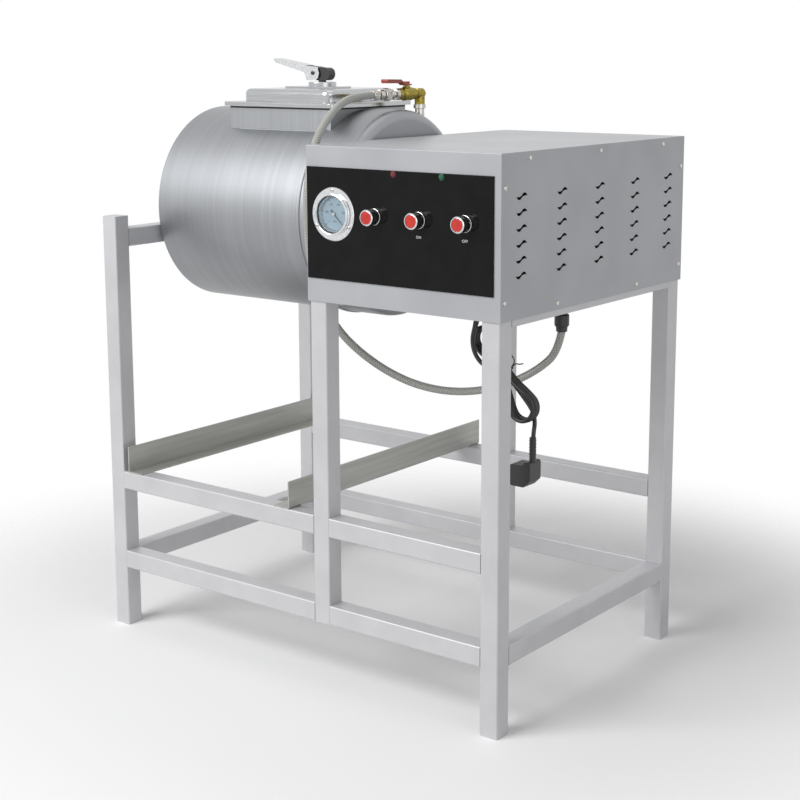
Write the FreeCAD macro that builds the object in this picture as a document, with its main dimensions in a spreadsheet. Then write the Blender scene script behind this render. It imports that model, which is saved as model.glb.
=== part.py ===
"""Vacuum tumbler for meat: a welded tube stand, a sheet-metal drive cabinet and a horizontal drum."""
import FreeCAD, Part
import math
import os
import Sketcher
from FreeCAD import Placement, Rotation, Vector

# Frame: millimetres, X along the drum axis (drum left, cabinet right), -Y is the operator's side,
# +Z up, origin on the floor at the centre of the four legs' footprint.
doc = FreeCAD.newDocument("VacuumTumbler")
sheet = doc.addObject("Spreadsheet::Sheet", "dims")

DIMENSIONS = [
    # stand
    ("frameLength", 990, "outer length of the stand along X"),
    ("frameDepth", 645, "outer depth of the stand along Y"),
    ("tube", 38, "outer side of the square tube"),
    ("tubeWall", 2, "wall of the square tube"),
    ("tubeCorner", 3, "outer corner radius of the square tube"),
    ("axisHeight", 890, "drum axis above the floor"),
    ("legDrop", 10, "top of the left legs below the drum axis"),
    ("driveHeight", 108, "top of the cabinet's frame below the drum axis"),
    ("lowerRailHeight", 129, "underside of the lower rails"),
    ("midRailHeight", 303, "underside of the middle rails"),
    ("drumBay", 527, "clear width between the left legs and the middle posts"),
    # slides for the meat tub
    ("slideGap", 15, "left slide off the left legs"),
    ("slideBay", 450, "width between the upright flanges of the slides"),
    ("slideRise", 55, "height of the upright flange"),
    ("slideShelf", 40, "width of the level flange"),
    ("slideSheet", 2.5, "thickness of the slides"),
    # cabinet
    ("cabinetHeight", 288, "height of the cabinet's sides"),
    ("skirt", 25, "how far the sides hang below the floor of the cabinet"),
    ("coverSheet", 1.5, "thickness of the cabinet sheet"),
    ("coverGap", 1.5, "cabinet sheet off the tubes"),
    ("floorSheet", 2, "thickness of the cabinet floor"),
    ("wallHole", 76, "hole for the drive shaft in the left wall"),
    ("ventLength", 34, "length of one wavy vent"),
    ("ventBand", 5.2, "width of the vent's band"),
    ("ventWave", 3.4, "rise of the vent's wave"),
    ("ventColumns", 5, "columns of vents"),
    ("ventRows", 6, "rows of vents"),
    ("ventPitchY", 131, "between columns"),
    ("ventPitchZ", 27.3, "between rows"),
    ("screwHole", 4.2, "hole for a cover screw"),
    ("screwHead", 8.5, "diameter of a cover screw's head"),
    ("screwRise", 2.4, "height of a cover screw's head"),
    ("screwEdge", 12, "cover screws in from the cover's edge"),
    # control panel
    ("plateSheet", 3, "thickness of the control plate"),
    ("plateHeight", 206, "height of the control plate"),
    ("plateRise", 44, "control plate above the cabinet's lower edge"),
    ("plateLeft", 3, "control plate in from the cabinet's left edge"),
    ("plateRight", 14, "control plate in from the cabinet's right edge"),
    ("gaugeFlange", 98, "diameter of the vacuum gauge's flange"),
    ("gaugeBezel", 76, "diameter of the gauge's bezel"),
    ("gaugeGlass", 68.6, "diameter of the gauge's lens"),
    ("gaugeCan", 64, "diameter of the gauge's case behind the plate"),
    ("gaugeX", 64, "gauge centre from the plate's left edge"),
    ("gaugeZ", 121, "gauge centre above the plate's lower edge"),
    ("buttonX", 158, "first button from the plate's left edge"),
    ("buttonPitch", 99, "between buttons"),
    ("buttonZ", 122, "buttons above the plate's lower edge"),
    ("buttonBezel", 29, "diameter of a button's collar"),
    ("buttonCap", 24, "diameter of a button's cap"),
    ("buttonBarrel", 22, "diameter of a button's barrel behind the plate"),
    ("buttonReach", 24, "how far a button stands out from the plate"),
    ("buttonTravel", 4, "how far a button goes in"),
    ("lampX", 202, "first lamp from the plate's left edge"),
    ("lampPitch", 105, "between lamps"),
    ("lampDrop", 6.5, "lamps below the plate's upper edge"),
    ("lampBarrel", 8, "diameter of a lamp's barrel"),
    # drum
    ("drumRadius", 206, "outer radius of the drum shell"),
    ("drumWall", 2, "thickness of the drum sheet"),
    ("drumGap", 8, "drum rim off the left legs"),
    ("shellLength", 454, "length of the rolled shell"),
    ("headRecess", 14, "left head in from the rim"),
    ("headSheet", 3, "thickness of the left head"),
    ("capOverlap", 69, "how far the right cap reaches over the shell"),
    ("capLength", 114, "length of the spun right cap"),
    ("capKnuckle", 20, "outer knuckle radius of the cap"),
    ("capLip", 2.4, "height of the rolled lip of the cap"),
    ("fit", 0.2, "clearance between the cap and the shell"),
    ("paddleHeight", 38, "height of a tumbling paddle"),
    ("paddleSheet", 3, "thickness of a tumbling paddle"),
    ("paddleLength", 400, "length of a tumbling paddle"),
    # mouth and lid
    ("mouthX", 268.5, "centre of the mouth from the drum's left rim"),
    ("neckLength", 271, "outer length of the mouth's neck"),
    ("neckWidth", 242, "outer width of the mouth's neck"),
    ("neckWall", 3, "wall of the neck"),
    ("neckRim", 14, "width of the inward seat on the neck"),
    ("neckRise", 3, "top of the neck above the drum's crest"),
    ("gasket", 4, "thickness of the lid gasket"),
    ("lidLength", 293, "length of the lid's flange"),
    ("lidWidth", 264, "width of the lid's flange"),
    ("lidFlange", 9, "thickness of the lid's flange"),
    ("lidMargin", 29, "flange around the raised box"),
    ("lidBox", 26, "height of the raised box"),
    ("lidSheet", 2.5, "thickness of the lid sheet"),
    ("lidRound", 11, "edge radius of the raised box"),
    ("plinth", 58, "diameter of the plinth on the lid"),
    ("spindle", 16, "diameter of the clamp's spindle"),
    ("clampHead", 26, "height of the clamp's head"),
    ("clampOffset", 12.5, "clamp's spindle right of the mouth's centre"),
    ("clampWidth", 19, "width of the clamp's head"),
    ("clampPin", 8, "diameter of the clamp's pin"),
    ("pinSetback", 14, "clamp's pin left of its spindle"),
    ("pinRise", 18, "clamp's pin above the plinth"),
    ("leverReach", 107, "clamp lever from the pin to its tip"),
    ("leverWidth", 23, "inner width of the clamp lever"),
    ("leverSheet", 2.5, "thickness of the clamp lever"),
    # shafts and bearings
    ("stubShaft", 30, "diameter of the left stub shaft"),
    ("driveShaft", 40, "diameter of the drive shaft"),
    ("hubFlange", 112, "diameter of the hub flanges"),
    ("hubSheet", 8, "thickness of the hub flanges"),
    ("running", 0.05, "radial running clearance of a shaft in its bearing"),
    ("blockHeight", 36.5, "bearing axis above the block's foot"),
    ("blockWidth", 34, "width of a bearing block along the shaft"),
    ("blockFoot", 140, "length of a bearing block's foot"),
    # vacuum valve on the drum
    ("valveX", 84, "valve's plane from the drum cap's lip"),
    ("standpipeY", 85, "standpipe behind the drum axis"),
    ("standpipe", 19, "diameter of the standpipe"),
    ("valveRise", 238, "valve's axis above the drum axis"),
    ("elbow", 21, "diameter of the brass elbow"),
    ("valveLength", 77, "standpipe to the end of the valve body"),
    ("stemY", 44, "valve stem in front of the standpipe"),
    ("valveStem", 8, "diameter of the valve's stem"),
    ("handleReach", 72, "valve handle from its stem to its tip"),
    ("handleWidth", 15, "width of the valve handle"),
    ("coupler", 18, "diameter of the coupler socket"),
    ("couplerLength", 48, "length of the coupler socket"),
    ("sleeve", 25, "diameter of the coupler's sleeve"),
    ("sleeveLength", 20, "length of the coupler's sleeve"),
    ("sleeveTravel", 5, "how far the sleeve pulls back"),
    ("hose", 15, "outer diameter of the suction hose"),
    # services under the cabinet
    ("suctionX", 432, "suction fitting from the stand's centre"),
    ("suctionY", -20, "suction fitting from the stand's centre"),
    ("suctionDrop", 89, "suction fitting's tip below the cabinet's floor"),
    ("glandX", 380, "cable gland from the stand's centre"),
    ("glandY", -222, "cable gland from the stand's centre"),
    ("glandThread", 16, "diameter of the gland's thread"),
    ("cord", 8, "diameter of the mains cord"),
]
for row, (alias, value, note) in enumerate(DIMENSIONS, 1):
    sheet.set("A%d" % row, note)
    sheet.set("B%d" % row, str(value))
    sheet.setAlias("B%d" % row, alias)
doc.recompute()


class Size:
    """A length that carries both its value and the expression that gives it."""

    def __init__(self, value, text):
        self.value, self.text = float(value), text

    def combine(self, other, sign, swap=False):
        a, b = (asSize(other), self) if swap else (self, asSize(other))
        value = {"+": lambda: a.value + b.value, "-": lambda: a.value - b.value,
                 "*": lambda: a.value * b.value, "/": lambda: a.value / b.value}[sign]()
        return Size(value, "(%s %s %s)" % (a.text, sign, b.text))

    def __add__(self, other): return self.combine(other, "+")
    def __radd__(self, other): return self.combine(other, "+", True)
    def __sub__(self, other): return self.combine(other, "-")
    def __rsub__(self, other): return self.combine(other, "-", True)
    def __mul__(self, other): return self.combine(other, "*")
    def __rmul__(self, other): return self.combine(other, "*", True)
    def __truediv__(self, other): return self.combine(other, "/")
    def __neg__(self): return Size(-self.value, "(0 - %s)" % self.text)
    def __float__(self): return self.value


def asSize(value):
    return value if isinstance(value, Size) else Size(value, repr(float(value)))


class Dimensions:
    pass


d = Dimensions()
for alias, value, note in DIMENSIONS:
    setattr(d, alias, Size(sheet.get(alias), "dims." + alias))

parts = []      # the objects that are written out
TURN = {        # sends a body's own Z to the named direction
    "Z": Rotation(), "-Z": Rotation(Vector(1, 0, 0), 180), "X": Rotation(Vector(0, 1, 0), 90),
    "-X": Rotation(Vector(0, 1, 0), -90), "Y": Rotation(Vector(1, 0, 0), -90),
    "-Y": Rotation(Vector(1, 0, 0), 90),
}


def bind(thing, prop, size):
    """Ties a property to the sheet."""
    thing.setExpression(prop, asSize(size).text)


def newBody(label, at=(0, 0, 0), turn="Z", keep=True):
    body = doc.addObject("PartDesign::Body", label)
    body.Label = label
    body.Placement = Placement(Vector(), TURN[turn] if isinstance(turn, str) else turn)
    for axis, size in zip("xyz", at):
        bind(body, "Placement.Base." + axis, size)
    if keep:
        parts.append(body)
    return body


def newSketch(body, plane="XY", lift=0):
    sk = body.newObject("Sketcher::SketchObject", "outline")
    base = [f for f in body.Origin.OriginFeatures if f.Role == plane + "_Plane"][0]
    sk.AttachmentSupport = [(base, "")]
    sk.MapMode = "FlatFace"
    bind(sk, "AttachmentOffset.Base.z", lift)
    return sk


def pin(sk, geometry, point, x, y):
    """Fixes a sketch point at x, y."""
    for kind, size in (("DistanceX", x), ("DistanceY", y)):
        at = sk.addConstraint(Sketcher.Constraint(kind, -1, 1, geometry, point, float(size)))
        bind(sk, "Constraints[%d]" % at, size)


def addLoop(sk, corners):
    """A closed outline of straight lines through the corners."""
    first, count = sk.GeometryCount, len(corners)
    spots = [Vector(float(x), float(y), 0) for x, y in corners]
    for i in range(count):
        sk.addGeometry(Part.LineSegment(spots[i], spots[(i + 1) % count]), False)
    for i in range(count):
        sk.addConstraint(Sketcher.Constraint("Coincident", first + i, 2, first + (i + 1) % count, 1))
    for i, (x, y) in enumerate(corners):
        pin(sk, first + i, 1, x, y)


def addBox(sk, x0, y0, x1, y1):
    addLoop(sk, [(x0, y0), (x1, y0), (x1, y1), (x0, y1)])


def addCircle(sk, x, y, radius):
    at = sk.addGeometry(Part.Circle(Vector(float(x), float(y), 0), Vector(0, 0, 1), float(radius)), False)
    pin(sk, at, 3, x, y)
    k = sk.addConstraint(Sketcher.Constraint("Radius", at, float(radius)))
    bind(sk, "Constraints[%d]" % k, radius)


def pad(body, sk, length, both=False, back=False):
    feature = body.newObject("PartDesign::Pad", "pad")
    feature.Profile = sk
    feature.SideType = "Symmetric" if both else "One side"
    feature.Reversed = back
    bind(feature, "Length", length)
    doc.recompute()
    return feature


def pocket(body, sk, depth=None, both=False, back=False):
    """Cuts the outline out of the body and makes sure that it took something away."""
    before = body.Shape.Volume
    feature = body.newObject("PartDesign::Pocket", "pocket")
    feature.Profile = sk
    feature.SideType = "Symmetric" if both else "One side"
    feature.Reversed = back
    if depth is None:
        feature.Type = "ThroughAll"
    else:
        bind(feature, "Length", depth)
    doc.recompute()
    if not body.Shape.Volume < before - 1e-6:
        raise ValueError("the pocket in %s cuts nothing" % body.Label)
    return feature


def fillet(body, radius, pick):
    """Rounds the edges that pick() chooses."""
    names = ["Edge%d" % (i + 1) for i, e in enumerate(body.Shape.Edges) if pick(e)]
    if not names:
        raise ValueError("no edge to round in %s" % body.Label)
    last = body.Tip
    feature = body.newObject("PartDesign::Fillet", "fillet")
    feature.Base = (last, names)
    bind(feature, "Radius", radius)
    doc.recompute()
    return feature


def localEdges(body, test):
    """An edge picker in the body's own frame: test gets the edge's two end points and its centre."""
    back = body.Placement.inverse()

    def pick(edge):
        ends = [back.multVec(v.Point) for v in edge.Vertexes]
        return len(ends) == 2 and test(ends[0], ends[1])
    return pick


def upright(a, b):
    return abs(a.x - b.x) < 1e-4 and abs(a.y - b.y) < 1e-4 and abs(a.z - b.z) > 1e-3


def lathe(label, outline, at=(0, 0, 0), turn="Z", keep=True):
    """A turned piece: outline is radius, height pairs about the body's own Z."""
    body = newBody(label, at, turn, keep)
    sk = newSketch(body, "XZ")
    addLoop(sk, outline)
    feature = body.newObject("PartDesign::Revolution", "turned")
    feature.Profile = sk
    feature.ReferenceAxis = (sk, ["V_Axis"])
    feature.Angle = 360
    doc.recompute()
    return body


def ringEdge(body, radius, height):
    """Picks the circles of the given radius at the given height in the body's own frame."""
    back = body.Placement.inverse()

    def pick(edge):
        if not isinstance(edge.Curve, Part.Circle):
            return False
        centre = back.multVec(edge.Curve.Center)
        return abs(edge.Curve.Radius - float(radius)) < 0.01 and abs(centre.z - float(height)) < 0.01
    return pick


def squareTube(label, at, turn, length, capped=False, keep=True):
    """Square tube along its own Z from the given centre point; a capped one is welded shut on top."""
    body = newBody(label, at, turn, keep)
    outer, inner = d.tube / 2, d.tube / 2 - d.tubeWall
    sk = newSketch(body)
    addBox(sk, -outer, -outer, outer, outer)
    pad(body, sk, length)
    fillet(body, d.tubeCorner, localEdges(body, upright))
    hollow = newSketch(body)
    addBox(hollow, -inner, -inner, inner, inner)
    if capped:
        pocket(body, hollow, length - d.tubeWall, back=True)
    else:
        pocket(body, hollow, back=True)
    return body


def block(label, low, high, keep=True):
    """A plain box between two corners."""
    body = newBody(label, low, "Z", keep)
    sk = newSketch(body)
    addBox(sk, 0, 0, high[0] - low[0], high[1] - low[1])
    pad(body, sk, high[2] - low[2])
    return body


def holes(body, plane, lift, spots, back=False, both=False, depth=None):
    sk = newSketch(body, plane, lift)
    for x, y, radius in spots:
        addCircle(sk, x, y, radius)
    return pocket(body, sk, depth, both=both, back=back)


def group(label, members):
    """Like pieces that share one file."""
    joined = doc.addObject("Part::Compound", label)
    joined.Label = label
    joined.Links = members
    parts.append(joined)
    doc.recompute()
    return joined


# ---- stand ----------------------------------------------------------------------------------
halfLength, halfDepth, halfTube = d.frameLength / 2, d.frameDepth / 2, d.tube / 2
legX, legY = halfLength - halfTube, halfDepth - halfTube
seat = d.axisHeight - d.driveHeight                     # top of the frame under the cabinet
postLeft = d.tube + d.drumBay - halfLength              # left faces of the middle posts
postX = postLeft + halfTube
postFoot = d.lowerRailHeight

for name, x, y, height in (
        ("front_left_leg", -legX, -legY, d.axisHeight - d.legDrop),
        ("rear_left_leg", -legX, legY, d.axisHeight - d.legDrop),
        ("front_right_leg", legX, -legY, seat),
        ("rear_right_leg", legX, legY, seat)):
    squareTube(name, (x, y, 0), "Z", height, capped=True)
for name, y in (("front_middle_post", -legY), ("rear_middle_post", legY)):
    squareTube(name, (postX, y, postFoot), "Z", seat - postFoot, capped=True)

rightSpan = halfLength - d.tube - postLeft - d.tube     # clear width right of the middle posts
for name, y, foot in (("front_lower_rail", -legY, d.lowerRailHeight), ("rear_lower_rail", legY, d.lowerRailHeight),
                      ("front_mid_rail", -legY, d.midRailHeight), ("rear_mid_rail", legY, d.midRailHeight)):
    left = squareTube(name + "_a", (d.tube - halfLength, y, foot + halfTube), "X", d.drumBay, keep=False)
    right = squareTube(name + "_b", (postLeft + d.tube, y, foot + halfTube), "X", rightSpan, keep=False)
    group(name, [left, right])
crossSpan = d.frameDepth - d.tube * 2
sides = [squareTube("side_lower_rail_" + n, (x, d.tube - halfDepth, d.lowerRailHeight + halfTube), "Y",
                    crossSpan, keep=False) for n, x in (("a", -legX), ("b", legX))]
group("side_lower_rails", sides)
for name, x, top in (("right_top_rail", legX, seat), ("middle_top_rail", postX, seat),
                     ("bearing_cross_tube", -legX, d.axisHeight - d.blockHeight)):
    squareTube(name, (x, d.tube - halfDepth, top - halfTube), "Y", crossSpan)

# ---- slides for the tub ---------------------------------------------------------------------
slideSeat = d.midRailHeight + d.tube
slideLeft = d.tube + d.slideGap - halfLength
for name, x, way in (("left_tub_slide", slideLeft, 1), ("right_tub_slide", slideLeft + d.slideBay, -1)):
    angle = newBody(name, (x, halfDepth, slideSeat))
    sk = newSketch(angle, "XZ")
    addLoop(sk, [(0, 0), (way * d.slideShelf, 0), (way * d.slideShelf, d.slideSheet),
                 (way * d.slideSheet, d.slideSheet), (way * d.slideSheet, d.slideRise), (0, d.slideRise)])
    pad(angle, sk, d.frameDepth)
    fillet(angle, d.slideSheet * 1.4, localEdges(angle, lambda a, b: abs(a.x) < 1e-3 and abs(a.z) < 1e-3
                                                 and abs(b.x) < 1e-3 and abs(b.z) < 1e-3))

# ---- cabinet --------------------------------------------------------------------------------
wallLeft = postLeft - d.coverGap - d.coverSheet         # outer faces of the cabinet
wallRight = halfLength + d.coverGap + d.coverSheet
wallFront = halfDepth + d.coverGap + d.coverSheet
cabinetFoot = seat - d.skirt
cabinetTop = cabinetFoot + d.cabinetHeight
axisInCabinet = d.axisHeight - cabinetFoot
plateX, plateZ = wallLeft + d.plateLeft, cabinetFoot + d.plateRise
plateWidth = wallRight - wallLeft - d.plateLeft - d.plateRight
gaugeAt = (plateX + d.gaugeX, plateZ + d.gaugeZ)
buttonsAt = [(plateX + d.buttonX + i * d.buttonPitch, plateZ + d.buttonZ) for i in range(3)]
lampsAt = [(plateX + d.lampX + i * d.lampPitch, plateZ + d.plateHeight - d.lampDrop) for i in range(2)]
plateHoles = ([(gaugeAt, d.gaugeCan / 2 + 0.5)] + [(at, d.buttonBarrel / 2 + 0.2) for at in buttonsAt]
              + [(at, d.lampBarrel / 2 + 0.2) for at in lampsAt])

floor = block("cabinet_floor", (wallLeft + d.coverSheet, d.coverSheet - wallFront, seat),
              (wallRight - d.coverSheet, wallFront - d.coverSheet, seat + d.floorSheet))
floorX, floorY = wallLeft + d.coverSheet, d.coverSheet - wallFront
holes(floor, "XY", 0, [(d.suctionX - floorX, d.suctionY - floorY, 9.2),
                       (d.glandX - floorX, d.glandY - floorY, d.glandThread / 2 + 0.2)], back=True)

front = block("cabinet_front", (wallLeft, -wallFront, cabinetFoot),
              (wallRight - d.coverSheet, d.coverSheet - wallFront, cabinetTop - d.coverSheet))
holes(front, "XZ", 0, [(x - wallLeft, z - cabinetFoot, r) for (x, z), r in plateHoles], both=True)

block("cabinet_rear", (wallLeft, wallFront - d.coverSheet, cabinetFoot),
      (wallRight - d.coverSheet, wallFront, cabinetTop - d.coverSheet))

top = block("cabinet_top", (wallLeft, -wallFront, cabinetTop - d.coverSheet), (wallRight, wallFront, cabinetTop))
fillet(top, d.coverSheet * 0.8, localEdges(top, lambda a, b: a.z > 1e-3 and b.z > 1e-3))

leftWall = block("cabinet_left_wall", (wallLeft, d.coverSheet - wallFront, cabinetFoot),
                 (wallLeft + d.coverSheet, wallFront - d.coverSheet, cabinetTop - d.coverSheet))
holes(leftWall, "YZ", 0, [(wallFront - d.coverSheet, axisInCabinet, d.wallHole / 2)], both=True)

# right cover: rows of wavy vents and nine screws
cover = block("louvred_cover", (wallRight - d.coverSheet, -wallFront, cabinetFoot),
              (wallRight, wallFront, cabinetTop - d.coverSheet))
sk = newSketch(cover, "YZ")


def flank(sk, start, through, end, bulgesUp):
    """An arc from start on the left to end on the right; returns the vertex numbers of start and end."""
    spots = [Vector(float(x), float(y), 0) for x, y in (start, through, end)]
    circle = Part.Circle(*spots)
    angles = [math.atan2(s.y - circle.Center.y, s.x - circle.Center.x) for s in (spots[0], spots[2])]
    if bulgesUp:
        angles.reverse()
    if angles[1] < angles[0]:
        angles[1] += 2 * math.pi
    turn = Part.Circle(circle.Center, Vector(0, 0, 1), circle.Radius)
    g = sk.addGeometry(Part.ArcOfCircle(turn, angles[0], angles[1]), False)
    spot = sk.addGeometry(Part.Point(spots[1]), True)
    pin(sk, spot, 1, *through)
    sk.addConstraint(Sketcher.Constraint("PointOnObject", spot, 1, g))
    return (g, 2, 1) if bulgesUp else (g, 1, 2)


# one vent, a flat S with pointed ends: the left lobe hangs, the right lobe rises
ventY = wallFront - d.ventPitchY * (d.ventColumns - 1) / 2
ventZ = d.cabinetHeight / 2 - d.ventPitchZ * (d.ventRows - 1) / 2
quarter, tips = d.ventLength / 4, []
for side in (1, -1):
    middle = (ventY, ventZ + side * d.ventBand * 0.42)
    hang = flank(sk, (ventY - 2 * quarter, ventZ), (ventY - quarter, ventZ + side * d.ventBand / 2 - d.ventWave),
                 middle, False)
    rise = flank(sk, middle, (ventY + quarter, ventZ + side * d.ventBand / 2 + d.ventWave),
                 (ventY + 2 * quarter, ventZ), True)
    sk.addConstraint(Sketcher.Constraint("Coincident", hang[0], hang[2], rise[0], rise[1]))
    pin(sk, hang[0], hang[2], *middle)
    tips.append((hang, rise))
for end in (0, 1):
    (g1, *v1), (g2, *v2) = tips[0][end], tips[1][end]
    sk.addConstraint(Sketcher.Constraint("Coincident", g1, v1[end], g2, v2[end]))
    pin(sk, g1, v1[end], ventY + (4 * end - 2) * quarter, ventZ)
vent = pocket(cover, sk, both=True)
many = cover.newObject("PartDesign::MultiTransform", "vents")
many.Originals = [vent]
rows = []
for axis, count, pitch in (("H_Axis", d.ventColumns, d.ventPitchY), ("V_Axis", d.ventRows, d.ventPitchZ)):
    row = cover.newObject("PartDesign::LinearPattern", "row")
    row.Direction = (sk, [axis])
    row.Mode = "Spacing"
    bind(row, "Offset", pitch)
    bind(row, "Occurrences", count)
    rows.append(row)
many.Transformations = rows
cover.Tip = many
doc.recompute()

edge, deep = d.screwEdge, wallFront * 2
coverTop = d.cabinetHeight - d.coverSheet
screwSpots = ([(wallFront + i * wallFront * 0.73, coverTop - edge * 0.85) for i in (-1, 0, 1)]
              + [(wallFront + i * wallFront * 0.44, edge) for i in (-1, 1)]
              + [(y, coverTop * share) for y in (edge, deep - edge) for share in (0.115, 0.8)])
holes(cover, "YZ", 0, [(y, z, d.screwHole / 2) for y, z in screwSpots], both=True)
screws = []
for i, (y, z) in enumerate(screwSpots):
    screws.append(lathe("cover_screw_%d" % i, [(0, -2 * d.coverSheet), (d.screwHole / 2 - 0.1, -2 * d.coverSheet),
                  (d.screwHole / 2 - 0.1, 0), (d.screwHead / 2, 0), (d.screwHead / 2 - 0.4, d.screwRise * 0.6),
                  (d.screwHead / 4, d.screwRise), (0, d.screwRise)],
                  (wallRight, y - wallFront, z + cabinetFoot), "X", keep=False))
group("cover_screws", screws)

# ---- control panel --------------------------------------------------------------------------
panelFace = -(wallFront + d.plateSheet)                 # Y of the plate's front
plate = block("control_plate", (plateX, panelFace, plateZ), (plateX + plateWidth, -wallFront, plateZ + d.plateHeight))
fillet(plate, 0.8, localEdges(plate, lambda a, b: a.y < 1e-3 and b.y < 1e-3))
holes(plate, "XZ", 0, [(x - plateX, z - plateZ, r) for (x, z), r in plateHoles], both=True)

can, glass, bezel = d.gaugeCan / 2, d.gaugeGlass / 2, d.gaugeBezel / 2
gaugeSpot = (gaugeAt[0], panelFace, gaugeAt[1])
case = lathe("gauge_case", [(0, -36), (can - 4, -36), (can, -32), (can, 0), (d.gaugeFlange / 2, 0),
             (d.gaugeFlange / 2, 1.6), (d.gaugeFlange / 2 - 1.4, 3), (bezel + 1, 3), (bezel, 4),
             (bezel, 7.2), (bezel - 1, 8.4), (glass + 0.2, 8.4), (glass + 0.2, 3), (glass - 1.6, 3),
             (can - 2, -5), (1, -5), (1, 1), (0, 1)], gaugeSpot, "-Y")
lathe("gauge_dial", [(1.6, -5), (can - 2.4, -5), (can - 2.4, -4.2), (1.6, -4.2)], gaugeSpot, "-Y")
lathe("gauge_lens", [(0, 3), (glass, 3), (glass, 5.2), (glass - 0.8, 6), (0, 6)], gaugeSpot, "-Y")
needle = newBody("gauge_needle", gaugeSpot, Rotation(Vector(0, -1, 0), -45) * TURN["-Y"])
sk = newSketch(needle, "XY", -2.6)
addLoop(sk, [(-10, -1.6), (-2, -1.1), (can * 0.82, -0.2), (can * 0.82, 0.2), (-2, 1.1), (-10, 1.6)])
pad(needle, sk, 0.8)
sk = newSketch(needle, "XY", -3.2)
addCircle(sk, 0, 0, 3.2)
pad(needle, sk, 3)
holes(needle, "XY", -4, [(0, 0, 1.05)], back=True)

face, bore = d.buttonReach, d.buttonCap / 2 + 0.3
collars = []
for i, (x, z) in enumerate(buttonsAt):
    collar = lathe("button_collar_%d" % i, [
        (0, -44), (d.buttonBarrel / 2 - 1, -44), (d.buttonBarrel / 2, -43), (d.buttonBarrel / 2, 0),
        (d.buttonBezel / 2 + 0.5, 0), (d.buttonBezel / 2 + 0.5, 2.5), (d.buttonBezel / 2 - 0.9, 3.2),
        (d.buttonBezel / 2 - 0.9, face - 5), (d.buttonBezel / 2, face - 4.4), (d.buttonBezel / 2, face - 0.8),
        (d.buttonBezel / 2 - 0.8, face), (bore, face), (bore, face - 19 - d.buttonTravel),
        (4.3, face - 19 - d.buttonTravel), (4.3, face - 34 - d.buttonTravel), (0, face - 34 - d.buttonTravel)],
        (x, panelFace, z), "-Y", keep=False)
    collars.append(collar)
group("button_collars", collars)
for name, (x, z) in zip(("vacuum_button", "start_button", "stop_button"), buttonsAt):
    lathe(name, [(0, face - 32), (4, face - 32), (4, face - 17), (d.buttonCap / 2, face - 17),
                 (d.buttonCap / 2, face - 0.9), (d.buttonCap / 2 - 0.9, face), (0, face)],
          (x, panelFace, z), "-Y")
for name, (x, z) in zip(("red_lamp", "green_lamp"), lampsAt):
    barrel = d.lampBarrel / 2
    lathe(name, [(0, -22), (barrel, -22), (barrel, 0), (barrel + 1.9, 0), (barrel + 1.9, 1.2), (barrel + 0.9, 1.9),
                 (barrel + 0.6, 3.4), (barrel - 0.9, 5), (barrel / 2, 5.9), (0, 6.2)], (x, panelFace, z), "-Y")

# ---- drum -----------------------------------------------------------------------------------
axis = (0, 0, d.axisHeight)
drumLeft = d.tube + d.drumGap - halfLength              # X of the drum's left rim
capStart = drumLeft + d.shellLength - d.capOverlap
capEnd = capStart + d.capLength
crest = d.axisHeight + d.drumRadius
mouthX = drumLeft + d.mouthX
neckTop = crest + d.neckRise
valveX = capStart + d.valveX
holeInMouth = (d.neckLength - 2 * d.neckWall, d.neckWidth - 2 * d.neckWall)

shell = newBody("drum_shell", (drumLeft, 0, d.axisHeight))
sk = newSketch(shell, "YZ")
addCircle(sk, 0, 0, d.drumRadius)
addCircle(sk, 0, 0, d.drumRadius - d.drumWall)
pad(shell, sk, d.shellLength)
sk = newSketch(shell, "XY")
addBox(sk, d.mouthX - holeInMouth[0] / 2, -holeInMouth[1] / 2, d.mouthX + holeInMouth[0] / 2, holeInMouth[1] / 2)
pocket(shell, sk, d.drumRadius + 10, back=True)

inside, rim = d.drumRadius - d.drumWall, d.headRecess
leftHead = lathe("drum_left_head", [(0, rim), (inside - d.headSheet, rim), (inside - d.headSheet, 0), (inside, 0),
                 (inside, rim + d.headSheet), (0, rim + d.headSheet)], (drumLeft, 0, d.axisHeight), "X", keep=False)
fillet(leftHead, d.headSheet * 1.5, ringEdge(leftHead, inside, rim + d.headSheet))
over, out = d.drumRadius + d.fit, d.drumRadius + d.fit + d.drumWall
rightHead = lathe("drum_right_cap", [(over, 0), (out + d.capLip - 0.9, 0), (out + d.capLip, 1.4), (out + d.capLip, 7),
                  (out + d.capLip - 0.9, 8.6), (out, 9.6), (out, d.capLength), (0, d.capLength),
                  (0, d.capLength - d.drumWall), (over, d.capLength - d.drumWall)],
                  (capStart, 0, d.axisHeight), "X", keep=False)
fillet(rightHead, d.capKnuckle, ringEdge(rightHead, out, d.capLength))
fillet(rightHead, d.capKnuckle - d.drumWall, ringEdge(rightHead, over, d.capLength - d.drumWall))
holes(rightHead, "YZ", 0, [(d.standpipeY, d.valveX, d.standpipe / 2 + 0.1)])
notch = newSketch(rightHead, "YZ")                      # the cap's lip is cut away round the mouth's neck
mouthEnd = mouthX + d.neckLength / 2 - capStart + d.fit
addBox(notch, -d.neckWidth / 2 - d.fit, -d.fit * 10, d.neckWidth / 2 + d.fit, mouthEnd)
pocket(rightHead, notch)
group("drum_ends", [leftHead, rightHead])

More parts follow.
